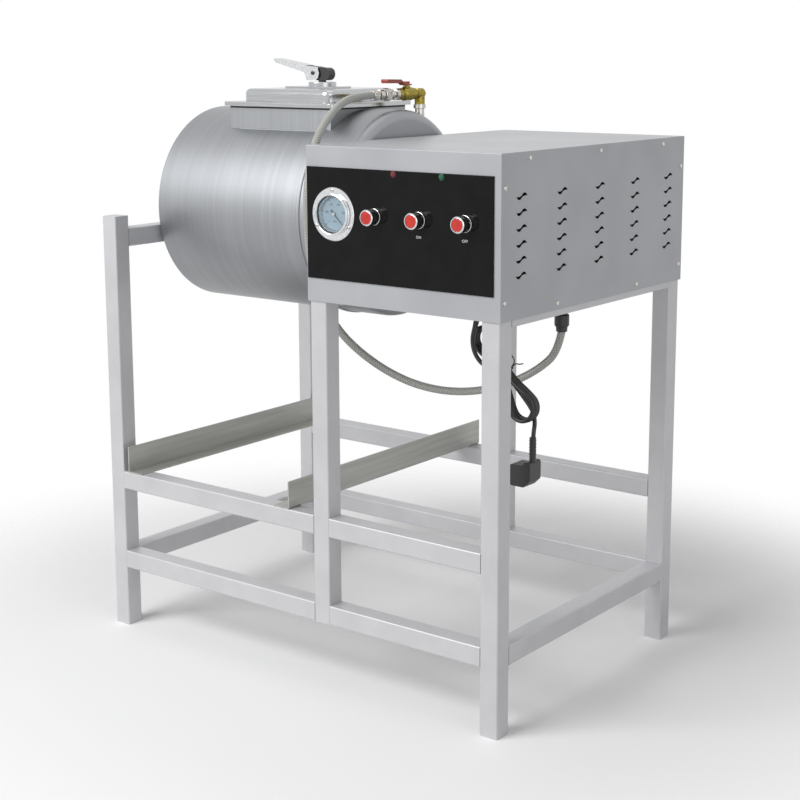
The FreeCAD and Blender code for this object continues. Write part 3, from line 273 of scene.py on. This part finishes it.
cordRoute = [(380, -222, 744), (374, -225, 722), (371, -227, 699), (377, -228, 677), (391, -226, 659)]
depth = cordSet["depth"]
cordRoute.append(hankSpot(14, 9.5, depth - 1.5))
for (lowLobe, highLobe), waist in zip(cordSet["lobes"], cordSet["waist"]):
    step = cordSet["step"]
    cordRoute.append(hankSpot(-12, waist + 1, depth))
    cordRoute += [hankSpot(-half - lowLobe * 1.06 * math.sin(a), lowLobe * 1.06 * math.cos(a), depth + step * share)
                  for a, share in ((math.radians(g), 0.1 + g / 600) for g in (-24, 14, 52, 90, 128, 166, 204))]
    cordRoute += [hankSpot(s, -waist, depth + step * share) for s, share in ((-14, 0.45), (14, 0.52))]
    cordRoute += [hankSpot(half + highLobe * 1.06 * math.sin(a), -highLobe * 1.06 * math.cos(a), depth + step * share)
                  for a, share in ((math.radians(g), 0.6 + g / 600) for g in (-24, 14, 52, 90, 128, 166, 204))]
    depth += step
    cordRoute.append(hankSpot(16, waist, depth))
cordRoute += [hankSpot(-14, 5, depth + 1), hankSpot(-48, 1, depth + 2), (482, depth, 577), (488, -197, 556),
              (490, -204, 545), (490, -205, 533)]
cordLine = routeLine("mainsCord", cordRoute)
cordLength = lengthOf(linePoints(cordLine))
cordLine.data.bevel_depth = cordSet["diameter"] / 2 * millimetre
cordLine.data.bevel_resolution = 4
cordLine.data.materials.append(cordPvc)
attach(cordLine, "stand")
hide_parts("mains_cord", "cord_hank")
tie = routeLine("twistTie", [
    hankSpot(2, -12, -206), hankSpot(2, -11, -222), hankSpot(3, 0, -224), hankSpot(2, 11, -222), hankSpot(2, 13, -205),
    hankSpot(2, 11, -186), hankSpot(3, 0, -184), hankSpot(3, -11, -186), hankSpot(3, -13, -204),
    (445, -207, 657), (452, -206, 664), (461, -209, 663), (472, -214, 667)])
tie.data.bevel_depth = 1.1 * millimetre
tie.data.materials.append(cordPvc)
tieEnd = routeLine("twistTieEnd", [(441, -205, 653), (446, -205, 661), (448, -203, 668), (440, -201, 676)])
tieEnd.data.bevel_depth = 1.1 * millimetre
tieEnd.data.materials.append(cordPvc)
for piece in (tie, tieEnd):
    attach(piece, "stand")
print("cords made: hose %.2f m, mains cord %.2f m" % (lengthOf(hosePath), cordLength))

# stand: square steel tube, sprayed with silver paint, so it is satin with a fine metallic sparkle
standSet = {"paint": ("#C4C4C7", "#CECED1"), "flake": 1.2, "patch": 70}
silverPaint, tree, sockets = newFinish("silver spray paint on steel tube", Metallic=0.3, Roughness=0.4, IOR=1.5)
spots = addNode(tree, "ShaderNodeTexCoord", output=3)
flakes = addNode(tree, "ShaderNodeTexNoise", inputs={
    "Vector": spots, "Scale": 1000 / standSet["flake"], "Detail": 1.0})
patches = addNode(tree, "ShaderNodeTexNoise", inputs={
    "Vector": spots, "Scale": 1000 / standSet["patch"], "Detail": 3.0})
shade = addNode(tree, "ShaderNodeMath", {"operation": "MULTIPLY_ADD"}, {0: flakes, 1: 0.45, 2: addNode(
    tree, "ShaderNodeMath", {"operation": "MULTIPLY"}, {0: patches, 1: 0.55})})
tree.links.new(addNode(tree, "ShaderNodeValToRGB", inputs={0: shade},
                       stops=list(zip((0.35, 0.65), standSet["paint"]))), sockets["Base Color"])
tree.links.new(addNode(tree, "ShaderNodeBump", inputs={"Height": flakes, "Strength": 0.05, "Distance": 0.0004}),
               sockets["Normal"])
tree.links.new(addNode(tree, "ShaderNodeMapRange", inputs={0: patches, 3: 0.34, 4: 0.48}), sockets["Roughness"])
dress(silverPaint, "front_left_leg", "rear_left_leg", "front_right_leg", "rear_right_leg", "front_middle_post",
      "rear_middle_post", "front_lower_rail", "rear_lower_rail", "front_mid_rail", "rear_mid_rail", "side_lower_rails",
      "right_top_rail", "middle_top_rail", "bearing_cross_tube")

# slides: folded mild steel, left as rolled, so it is duller and warmer than the stand
rolledSteel, tree, sockets = newFinish("cold rolled steel sheet, folded", Metallic=0.6, Roughness=0.45)
spots = addNode(tree, "ShaderNodeTexCoord", output=3)
rolled = addNode(tree, "ShaderNodeTexNoise", inputs={"Vector": addNode(
    tree, "ShaderNodeMapping", inputs={"Vector": spots, "Scale": (120.0, 5.0, 120.0)}), "Scale": 1.0, "Detail": 4.0})
tree.links.new(addNode(tree, "ShaderNodeValToRGB", inputs={0: rolled}, stops=[(0.3, "#A8A8A3"), (0.7, "#BCBCB7")]),
               sockets["Base Color"])
tree.links.new(addNode(tree, "ShaderNodeMapRange", inputs={0: rolled, 3: 0.36, 4: 0.55}), sockets["Roughness"])
dress(rolledSteel, "left_tub_slide", "right_tub_slide")

# cabinet: sheet steel, powder coated in silver grey, so it has a faint orange peel
coatSet = {"paint": ("#A9ABAF", "#B3B5B9"), "peel": 1.6, "patch": 120}
powderCoat, tree, sockets = newFinish("silver powder coat on sheet steel", Metallic=0.25, Roughness=0.38, IOR=1.5)
spots = addNode(tree, "ShaderNodeTexCoord", output=3)
peel = addNode(tree, "ShaderNodeTexNoise", inputs={
    "Vector": spots, "Scale": 1000 / coatSet["peel"], "Detail": 1.5})
patches = addNode(tree, "ShaderNodeTexNoise", inputs={
    "Vector": spots, "Scale": 1000 / coatSet["patch"], "Detail": 2.0})
tree.links.new(addNode(tree, "ShaderNodeValToRGB", inputs={0: patches},
                       stops=list(zip((0.3, 0.7), coatSet["paint"]))), sockets["Base Color"])
tree.links.new(addNode(tree, "ShaderNodeBump", inputs={"Height": peel, "Strength": 0.08, "Distance": 0.0003}),
               sockets["Normal"])
dress(powderCoat, "cabinet_front", "cabinet_rear", "cabinet_top", "cabinet_left_wall", "cabinet_floor",
      "louvred_cover")

# drum: 304 stainless sheet, brushed round the drum with a belt, so light runs along it in bands
brushSet = {"steel": ("#929497", "#9C9EA1"), "pitch": 1.1, "length": 260}
brushedDrum, tree, sockets = newFinish("304 stainless sheet, brushed round the drum", Metallic=1.0, Roughness=0.3)
spots = addNode(tree, "ShaderNodeTexCoord", output=3)
fine, long = 1000 / brushSet["pitch"], 1000 / brushSet["length"]
strokes = addNode(tree, "ShaderNodeTexNoise", inputs={"Vector": addNode(
    tree, "ShaderNodeMapping", inputs={"Vector": spots, "Scale": (fine, long, long)}), "Scale": 1.0, "Detail": 3.0})
wide = addNode(tree, "ShaderNodeTexNoise", inputs={"Vector": addNode(
    tree, "ShaderNodeMapping", inputs={"Vector": spots, "Scale": (fine / 14, long / 2, long / 2)}), "Scale": 1.0})
tree.links.new(addNode(tree, "ShaderNodeValToRGB", inputs={0: addNode(
    tree, "ShaderNodeMath", {"operation": "MULTIPLY_ADD"}, {0: strokes, 1: 0.5, 2: addNode(
        tree, "ShaderNodeMath", {"operation": "MULTIPLY"}, {0: wide, 1: 0.5})})},
    stops=list(zip((0.35, 0.65), brushSet["steel"]))), sockets["Base Color"])
tree.links.new(addNode(tree, "ShaderNodeMapRange", inputs={0: strokes, 3: 0.38, 4: 0.46}), sockets["Roughness"])
tree.links.new(addNode(tree, "ShaderNodeBump", inputs={"Height": strokes, "Strength": 0.03, "Distance": 0.0002}),
               sockets["Normal"])
dress(brushedDrum, "drum_shell", "drum_ends", "lid_neck", "drum_paddles")

# lid: 304 stainless, pressed and polished, so it mirrors softly
polishedLid, tree, sockets = newFinish("304 stainless sheet, pressed and polished", Metallic=1.0, Roughness=0.16)
spots = addNode(tree, "ShaderNodeTexCoord", output=3)
rub = addNode(tree, "ShaderNodeTexNoise", inputs={"Vector": addNode(
    tree, "ShaderNodeMapping", inputs={"Vector": spots, "Scale": (12.0, 500.0, 500.0)}), "Scale": 1.0, "Detail": 3.0})
tree.links.new(addNode(tree, "ShaderNodeValToRGB", inputs={0: rub}, stops=[(0.3, "#ACAEB0"), (0.7, "#BEC0C2")]),
               sockets["Base Color"])
tree.links.new(addNode(tree, "ShaderNodeMapRange", inputs={0: rub, 3: 0.1, 4: 0.24}), sockets["Roughness"])
dress(polishedLid, "lid_cover")

# shafts, screws and plated fittings: turned or plated steel, with fine rings or a light haze
turnedSteel, tree, sockets = newFinish("carbon steel bar, turned", Metallic=1.0, Roughness=0.3)
rings = addNode(tree, "ShaderNodeTexWave", {"bands_direction": "X"}, {"Vector": addNode(
    tree, "ShaderNodeTexCoord", output=3), "Scale": 130.0, "Distortion": 1.0})  # tool marks, drawn coarse at 2.4 mm
tree.links.new(addNode(tree, "ShaderNodeValToRGB", inputs={0: rings}, stops=[(0.2, "#9B9C9E"), (0.8, "#B4B6B8")]),
               sockets["Base Color"])
tree.links.new(addNode(tree, "ShaderNodeMapRange", inputs={0: rings, 3: 0.24, 4: 0.36}), sockets["Roughness"])
dress(turnedSteel, "left_stub_shaft", "drive_shaft")

nickelPlate, tree, sockets = newFinish("nickel plated brass, barrel plated", Metallic=1.0, Roughness=0.22)
haze = addNode(tree, "ShaderNodeTexNoise", inputs={"Vector": addNode(
    tree, "ShaderNodeTexCoord", output=3), "Scale": 260.0, "Detail": 3.0})  # handling haze, about 4 mm
tree.links.new(addNode(tree, "ShaderNodeValToRGB", inputs={0: haze}, stops=[(0.3, "#B3B1AA"), (0.7, "#D2D0CA")]),
               sockets["Base Color"])
tree.links.new(addNode(tree, "ShaderNodeMapRange", inputs={0: haze, 3: 0.16, 4: 0.3}), sockets["Roughness"])
dress(nickelPlate, "valve_standpipe", "coupler_socket", "coupler_sleeve", "hose_plug", "cover_screws")

chromePlate, tree, sockets = newFinish("chrome plated steel, buffed", Metallic=1.0, Roughness=0.08)
haze = addNode(tree, "ShaderNodeTexNoise", inputs={"Vector": addNode(
    tree, "ShaderNodeTexCoord", output=3), "Scale": 180.0, "Detail": 2.0})
tree.links.new(addNode(tree, "ShaderNodeValToRGB", inputs={0: haze}, stops=[(0.3, "#CFD0D2"), (0.7, "#DFE0E2")]),
               sockets["Base Color"])
tree.links.new(addNode(tree, "ShaderNodeMapRange", inputs={0: haze, 3: 0.05, 4: 0.14}), sockets["Roughness"])
dress(chromePlate, "gauge_case", "button_collars")

# castings: grey iron under grey enamel, sand cast, so the skin is pebbled
castIron, tree, sockets = newFinish("grey enamel on sand cast iron", Roughness=0.5, IOR=1.5)
pebble = addNode(tree, "ShaderNodeTexNoise", inputs={"Vector": addNode(
    tree, "ShaderNodeTexCoord", output=3), "Scale": 420.0, "Detail": 3.0})  # sand grit, drawn at 2.4 mm
tree.links.new(addNode(tree, "ShaderNodeValToRGB", inputs={0: pebble}, stops=[(0.3, "#53575B"), (0.7, "#666A6E")]),
               sockets["Base Color"])
tree.links.new(addNode(tree, "ShaderNodeBump", inputs={"Height": pebble, "Strength": 0.35, "Distance": 0.0006}),
               sockets["Normal"])
dress(castIron, "bearing_block", "drive_bearing")

motorPaint, tree, sockets = newFinish("blue grey enamel on die cast aluminium", Roughness=0.4, IOR=1.5)
dust = addNode(tree, "ShaderNodeTexNoise", inputs={"Vector": addNode(
    tree, "ShaderNodeTexCoord", output=3), "Scale": 40.0, "Detail": 5.0})  # shop dust in patches of 25 mm
tree.links.new(addNode(tree, "ShaderNodeValToRGB", inputs={0: dust}, stops=[(0.35, "#4A5662"), (0.7, "#5E6C7A")]),
               sockets["Base Color"])
dress(motorPaint, "gear_motor", "vacuum_pump")

# rubber: moulded EPDM, dull black with a slight bloom
rubberSeal, tree, sockets = newFinish("EPDM rubber, moulded", Roughness=0.62, IOR=1.5)
bloom = addNode(tree, "ShaderNodeTexNoise", inputs={"Vector": addNode(
    tree, "ShaderNodeTexCoord", output=3), "Scale": 150.0, "Detail": 3.0})
tree.links.new(addNode(tree, "ShaderNodeValToRGB", inputs={0: bloom}, stops=[(0.3, "#101010"), (0.75, "#1F1F1E")]),
               sockets["Base Color"])
dress(rubberSeal, "lid_gasket")

# control plate: acrylic sheet, black and glossy, so it mirrors the buttons
blackAcrylic, tree, sockets = newFinish("black acrylic sheet, cast", Roughness=0.07, IOR=1.49,
                                       Specular_IOR_Level=0.15)
wipe = addNode(tree, "ShaderNodeTexNoise", inputs={"Vector": addNode(
    tree, "ShaderNodeTexCoord", output=3), "Scale": 28.0, "Detail": 4.0})  # wiping marks of about 35 mm
tree.links.new(addNode(tree, "ShaderNodeValToRGB", inputs={0: wipe}, stops=[(0.3, "#0C0C0C"), (0.7, "#141414")]),
               sockets["Base Color"])
tree.links.new(addNode(tree, "ShaderNodeMapRange", inputs={0: wipe, 3: 0.05, 4: 0.12}), sockets["Roughness"])
dress(blackAcrylic, "control_plate")

# plastics: moulded ABS and nylon, with a fine spark texture
blackNylon, tree, sockets = newFinish("black nylon, injection moulded", Roughness=0.4, IOR=1.53)
spark = addNode(tree, "ShaderNodeTexNoise", inputs={"Vector": addNode(
    tree, "ShaderNodeTexCoord", output=3), "Scale": 900.0, "Detail": 2.0})  # spark texture, drawn at 1.1 mm
tree.links.new(addNode(tree, "ShaderNodeValToRGB", inputs={0: spark}, stops=[(0.3, "#161616"), (0.7, "#242424")]),
               sockets["Base Color"])
tree.links.new(addNode(tree, "ShaderNodeBump", inputs={"Height": spark, "Strength": 0.15, "Distance": 0.0003}),
               sockets["Normal"])
dress(blackNylon, "clamp_head", "suction_fitting", "cable_gland", "mains_plug", "gauge_needle")

redCap, tree, sockets = newFinish("red ABS, injection moulded", Roughness=0.32, IOR=1.54)
tone = addNode(tree, "ShaderNodeTexNoise", inputs={"Vector": addNode(
    tree, "ShaderNodeTexCoord", output=3), "Scale": 120.0, "Detail": 2.0})
tree.links.new(addNode(tree, "ShaderNodeValToRGB", inputs={0: tone}, stops=[(0.3, "#BC2318"), (0.7, "#D0301F")]),
               sockets["Base Color"])
sockets["Subsurface Weight"].default_value = 0.03
dress(redCap, "vacuum_button", "start_button", "stop_button")

for node, hues in (("red_lamp", ("#6E0E1E", "#8E1830")), ("green_lamp", ("#085A38", "#0E7A4E"))):
    lens, tree, sockets = newFinish(node.split("_")[0] + " polycarbonate lens, moulded", Roughness=0.08, IOR=1.58)
    facets = addNode(tree, "ShaderNodeTexVoronoi", inputs={"Vector": addNode(
        tree, "ShaderNodeTexCoord", output=3), "Scale": 320.0})  # diffusing facets of 3 mm
    tree.links.new(addNode(tree, "ShaderNodeValToRGB", inputs={0: facets}, stops=[(0.0, hues[0]), (0.7, hues[1])]),
                   sockets["Base Color"])
    sockets["Transmission Weight"].default_value = 0.25
    dress(lens, node)

# gauge: printed tin dial behind glass
dialTin, tree, sockets = newFinish("printed tin dial, matt lacquer", Roughness=0.5, IOR=1.5)
ink = addNode(tree, "ShaderNodeTexNoise", inputs={"Vector": addNode(
    tree, "ShaderNodeTexCoord", output=3), "Scale": 700.0, "Detail": 2.0})
tree.links.new(addNode(tree, "ShaderNodeValToRGB", inputs={0: ink}, stops=[(0.3, "#A5BBCB"), (0.7, "#B1C6D5")]),
               sockets["Base Color"])
dress(dialTin, "gauge_dial")
gaugeGlass, tree, sockets = newFinish("float glass, ground edge", Roughness=0.02, IOR=1.52)
sockets["Transmission Weight"].default_value = 1.0
sockets["Base Color"].default_value = linear("#F4F8F9")
dress(gaugeGlass, "gauge_lens")

# clamp and valve: cast brass, painted handles
castBrass, tree, sockets = newFinish("forged brass, tumbled", Metallic=1.0, Roughness=0.36)
dull = addNode(tree, "ShaderNodeTexNoise", inputs={"Vector": addNode(
    tree, "ShaderNodeTexCoord", output=3), "Scale": 210.0, "Detail": 4.0})
tree.links.new(addNode(tree, "ShaderNodeValToRGB", inputs={0: dull}, stops=[(0.3, "#7E6E2A"), (0.72, "#A8994A")]),
               sockets["Base Color"])
tree.links.new(addNode(tree, "ShaderNodeMapRange", inputs={0: dull, 3: 0.28, 4: 0.46}), sockets["Roughness"])
dress(castBrass, "valve_body")
redGrip, tree, sockets = newFinish("red vinyl dip on steel handle", Roughness=0.45, IOR=1.5)
skin = addNode(tree, "ShaderNodeTexNoise", inputs={"Vector": addNode(
    tree, "ShaderNodeTexCoord", output=3), "Scale": 500.0, "Detail": 2.0})
tree.links.new(addNode(tree, "ShaderNodeValToRGB", inputs={0: skin}, stops=[(0.3, "#98443C"), (0.7, "#AE564C")]),
               sockets["Base Color"])
tree.links.new(addNode(tree, "ShaderNodeBump", inputs={"Height": skin, "Strength": 0.12, "Distance": 0.0003}),
               sockets["Normal"])
dress(redGrip, "valve_lever")
zincLever, tree, sockets = newFinish("zinc plated steel, pressed", Metallic=1.0, Roughness=0.28)
spangle = addNode(tree, "ShaderNodeTexVoronoi", inputs={"Vector": addNode(
    tree, "ShaderNodeTexCoord", output=3), "Scale": 240.0})  # zinc crystals of about 4 mm
tree.links.new(addNode(tree, "ShaderNodeValToRGB", inputs={0: spangle}, stops=[(0.0, "#B9BBBC"), (0.8, "#D3D5D6")]),
               sockets["Base Color"])
dress(zincLever, "clamp_lever")
print("finishes put on the CAD nodes")

# gauge: printed scale, lens ring and flange screws
gaugeSet = {"centre": (134, 922), "face": -324.35, "marks": 31, "low": -45, "turn": 270,
            "numbers": ("0", "-.02", "-.04", "-.06", "-.08", "-.1")}
whiteInk, tree, sockets = newFinish("white enamel ink, screen printed", Base_Color="#E9E9E6", Roughness=0.5)
blackInk, tree, sockets = newFinish("black enamel ink, screen printed", Base_Color="#20242A", Roughness=0.5)


def barPiece(name, corners, depth, material, body="stand"):  # a flat bar facing the front, corners as x, z in mm
    front = [(x * millimetre, depth[0] * millimetre, z * millimetre) for x, z in corners]
    back = [(x * millimetre, depth[1] * millimetre, z * millimetre) for x, z in corners]
    n = len(corners)
    faces = [list(range(n)), list(range(2 * n - 1, n - 1, -1))] + [
        [k, k + n, (k + 1) % n + n, (k + 1) % n] for k in range(n)]
    return meshPiece(name, body, front + back, faces, material, smooth=False)


centreX, centreZ = gaugeSet["centre"]
ticks = []
for k in range(gaugeSet["marks"]):
    angle = math.radians(gaugeSet["low"] + gaugeSet["turn"] * k / (gaugeSet["marks"] - 1))
    inner, wide = (25.5, 0.75) if k % 6 == 0 else (28.0, 0.4)
    along, across = Vector((math.cos(angle), math.sin(angle))), Vector((-math.sin(angle), math.cos(angle)))
    corners = [along * inner - across * wide, along * 31 - across * wide, along * 31 + across * wide,
               along * inner + across * wide]
    ticks.append(barPiece("tick%d" % k, [(centreX + c.x, centreZ + c.y) for c in corners],
                          (gaugeSet["face"], gaugeSet["face"] + 0.15), blackInk))
arc = []
for k in range(61):
    angle = math.radians(gaugeSet["low"] + gaugeSet["turn"] * k / 60)
    arc.append((math.cos(angle), math.sin(angle)))
ring = [(centreX + x * 31.4, centreZ + z * 31.4) for x, z in arc]
ring += [(centreX + x * 30.9, centreZ + z * 30.9) for x, z in reversed(arc)]
ringFaces = [[k, k + 1, 120 - k, 121 - k] for k in range(60)]
ticks.append(meshPiece("scaleArc", "stand", [(x * millimetre, gaugeSet["face"] * millimetre, z * millimetre)
                                             for x, z in ring], ringFaces, blackInk, smooth=False))
for k, number in enumerate(gaugeSet["numbers"]):
    angle = math.radians(gaugeSet["low"] + gaugeSet["turn"] * k / 5)
    ticks.append(flatText("number%d" % k, "stand", number, 6.4, (centreX + 19.5 * math.cos(angle),
                          gaugeSet["face"], centreZ + 19.5 * math.sin(angle)), blackInk, lift=0.08))
ticks.append(flatText("gaugeUnit", "stand", "MPa", 5.2, (centreX, gaugeSet["face"], centreZ - 14), blackInk,
                      lift=0.08))
joinPieces("gaugeScale", "stand", ticks)
turnedPiece("gaugeRim", "stand", [
    (34.4, 0), (37.6, 0), (38.4, 1.2), (38.2, 2.6), (36.6, 3.6), (35.2, 3.2), (34.5, 1.6), (34.4, 0)],
    (centreX, -334.4, centreZ), (0, -1, 0), chromePlate, around=64)
for k, angle in enumerate((90, 210, 330)):  # slotted screws hold the flange
    spot = (centreX + 43.6 * math.cos(math.radians(angle)), -331.4, centreZ + 43.6 * math.sin(math.radians(angle)))
    turnedPiece("flangeScrew%d" % k, "stand", [(0, 2.2), (1.6, 2.1), (2.8, 1.5), (3.3, 0.6), (3.4, -0.2)], spot,
                (0, -1, 0), nickelPlate, around=24)
    # each slot is painted shade: a flat black bar set into the head where the groove's shade would fall
    barPiece("paintedSlotShade%d" % k, [(spot[0] - 2.6, spot[2] - 0.45), (spot[0] + 2.6, spot[2] - 0.45),
                                 (spot[0] + 2.6, spot[2] + 0.45), (spot[0] - 2.6, spot[2] + 0.45)],
             (spot[1] - 2.3, spot[1] - 1.4), blackInk)
turnedPiece("needleHub", "gauge_needle", [(0, 2.2), (2.6, 2.0), (3.4, 1.2), (3.6, 0)], (centreX, -327.6, centreZ),
            (0, -1, 0), chromePlate, around=24)

# buttons: a thin bright rim and a ribbed barrel behind each cap; plain words for on and off
for k, x in enumerate((228, 327, 426)):
    name = ("vacuum_button", "start_button", "stop_button")[k]
    ribs = [(14.7 if i % 2 else 14.3) * millimetre for i in range(72)]
    circle = [2 * math.pi * i / 72 for i in range(72)]
    ringSpots = [(x * millimetre + r * math.cos(a), y * millimetre, 923 * millimetre + r * math.sin(a))
                 for y in (-330.5, -336.5) for r, a in zip(ribs, circle)]
    meshPiece("buttonKnurl%d" % k, "stand", ringSpots,
              [[i, (i + 1) % 72, 72 + (i + 1) % 72, 72 + i] for i in range(72)], chromePlate, smooth=False)
    turnedPiece("capRim%d" % k, name, [(11.2, -0.1), (11.9, -0.4), (12.15, -1.4), (12.15, -3.4), (12.0, -3.6)],
                (x, -352.3, 923), (0, -1, 0), chromePlate, around=48)
flatText("startWord", "stand", "ON", 7, (327, -328.55, 893), whiteInk)
flatText("stopWord", "stand", "OFF", 7, (426, -328.55, 893), whiteInk)

# lamps: a bright collar at each lens
for x in (272, 377):
    turnedPiece("lampCollar%d" % x, "stand", [(4.2, 0), (5.3, 0.1), (5.4, 0.9), (4.9, 1.3), (4.2, 1.1)],
                (x, -328.5, 1000.5), (0, -1, 0), chromePlate, around=32)

# mains lead: tapered strain relief out of the gland and ribs on the plug's sleeve
reliefPath = [Vector(c) * millimetre for c in (
    (380, -222, 746), (378.6, -222.7, 739), (377, -223.6, 732), (375.6, -224.3, 725), (374.3, -224.9, 718),
    (373.2, -225.4, 712))]
relief = sweepTube("cordRelief", "stand", reliefPath, 5.6 * millimetre, blackNylon, around=24)
for v in relief.data.vertices:  # narrows towards the cord, with a groove at each turn
    row = v.index // 24
    centre = reliefPath[row]
    v.co = centre + (v.co - centre) * (1.0 - 0.045 * row) * (0.93 if row % 2 else 1.0)
for k, z in enumerate((527, 521, 515, 509, 503)):
    turnedPiece("plugRib%d" % k, "stand", [(5.0, -1.6), (6.4, -1.2), (6.5, 0), (6.4, 1.2), (5.0, 1.6)],
                (489, -205, z), (0, 0, 1), blackNylon, around=32)

# valve and coupling: pipe threads, knurled sleeve and ribbed hose nut
for k in range(9):  # thread turns on the standpipe
    turnedPiece("pipeThread%d" % k, "drum", [(9.3, -0.7), (10.1, 0), (9.3, 0.7)], (20, 85, 1069 + 1.9 * k),
                (0, 0, 1), nickelPlate, around=32)


def ringOfRidges(name, body, centre, radius, rise, count, ends, material):  # a ridged collar along Y
    angles = [2 * math.pi * i / (2 * count) for i in range(2 * count)]
    spots = [((centre[0] + (radius + rise * (i % 2)) * math.cos(a)) * millimetre, y * millimetre,
              (centre[1] + (radius + rise * (i % 2)) * math.sin(a)) * millimetre) for y in ends
             for i, a in enumerate(angles)]
    n = 2 * count
    return meshPiece(name, body, spots, [[i, (i + 1) % n, n + (i + 1) % n, n + i] for i in range(n)], material,
                     smooth=False)


ringOfRidges("sleeveKnurl", "coupler_sleeve", (20, 1128), 12.3, 0.7, 40, (-21, -35), nickelPlate)
ringOfRidges("hoseNutRibs", "stand", (20, 1128), 9.9, 0.8, 22, (-57, -70.5), nickelPlate)

# weld run where the mouth is let into the shell
weldSet = {"x": (-316, -45), "y": 121, "corner": 30, "radius": 1.7, "drum": 206, "axis": 890}
midX, halfX = sum(weldSet["x"]) / 2, (weldSet["x"][1] - weldSet["x"][0]) / 2
outline, corner = [], weldSet["corner"]
for sx, sy, start in ((1, 1, 0), (-1, 1, 90), (-1, -1, 180), (1, -1, 270)):
    for g in range(0, 91, 15):
        a = math.radians(start + g)
        outline.append((midX + sx * (halfX - corner) + corner * math.cos(a),
                        sy * (weldSet["y"] - corner) + corner * math.sin(a)))
bead, count = [], len(outline)
for k in range(count):
    (x0, y0), (x1, y1) = outline[k], outline[(k + 1) % count]
    pieces = max(1, int(math.hypot(x1 - x0, y1 - y0) / 5))
    bead += [(x0 + (x1 - x0) * i / pieces, y0 + (y1 - y0) * i / pieces) for i in range(pieces)]
beadPath = [Vector((x, y, weldSet["axis"] + math.sqrt(weldSet["drum"] ** 2 - y ** 2) - 0.3)) * millimetre
            for x, y in bead]
beadPath.append(beadPath[0])
weld = sweepTube("mouthWeld", "drum", beadPath, weldSet["radius"] * millimetre, brushedDrum, around=10)
for v in weld.data.vertices:  # the ripple of each puddle
    row = v.index // 10
    v.co = beadPath[row] + (v.co - beadPath[row]) * (1.12 if row % 2 else 0.9)
print("details made")

# light: a big soft key from the front left, a fill from the right and an even pale room
lightSet = {"key": ((-1.4, -4.0, 3.4), 3.2, 205), "fill": ((3.6, -1.6, 1.8), 2.6, 22),
            "top": ((0.2, 0.4, 4.2), 3.0, 14), "room": 0.3}
for name in ("key", "fill", "top"):
    spot, size, power = lightSet[name]
    lamp = bpy.data.objects.new(name + "Light", bpy.data.lights.new(name + "Light", "AREA"))
    lamp.data.size, lamp.data.energy = size, power
    lamp.matrix_world = Matrix.Translation(spot) @ (Vector((0, 0, 0.6)) - Vector(spot)).to_track_quat(
        "-Z", "Y").to_matrix().to_4x4()
    scene.collection.objects.link(lamp)
world = bpy.data.worlds.new("paleRoom")
world.use_nodes = True
scene.world = world
tree = world.node_tree
path = addNode(tree, "ShaderNodeLightPath").node
seen = addNode(tree, "ShaderNodeMath", {"operation": "MAXIMUM"}, {0: path.outputs["Is Camera Ray"], 1: addNode(
    tree, "ShaderNodeMath", {"operation": "MAXIMUM"},
    {0: path.outputs["Is Glossy Ray"], 1: path.outputs["Is Transmission Ray"]})})
room = tree.nodes["Background"]
room.inputs["Color"].default_value = (1, 1, 1, 1)
tree.links.new(addNode(tree, "ShaderNodeMapRange", inputs={0: seen, 3: lightSet["room"], 4: 1.0}),
               room.inputs["Strength"])

floorMesh = bmesh.new()
bmesh.ops.create_grid(floorMesh, x_segments=8, y_segments=8, size=3)
floorData = bpy.data.meshes.new("floor")
floorMesh.to_mesh(floorData)
floorMesh.free()
floor = bpy.data.objects.new("floor", floorData)
scene.collection.objects.link(floor)
floorPaint, tree, sockets = newFinish("white studio floor, matt painted", Base_Color="#FAFAFA", Roughness=0.9)
floorData.materials.append(floorPaint)
distance = addNode(tree, "ShaderNodeVectorMath", {"operation": "LENGTH"},
                   {0: addNode(tree, "ShaderNodeTexCoord", output=3)}, output=1)
tree.links.new(addNode(tree, "ShaderNodeMapRange", {"interpolation_type": "SMOOTHSTEP"},
                       {0: distance, 1: 0.7, 2: 1.5, 3: 1.0, 4: 0.0}), sockets["Alpha"])  # fades into the pale room
print("light and floor set")
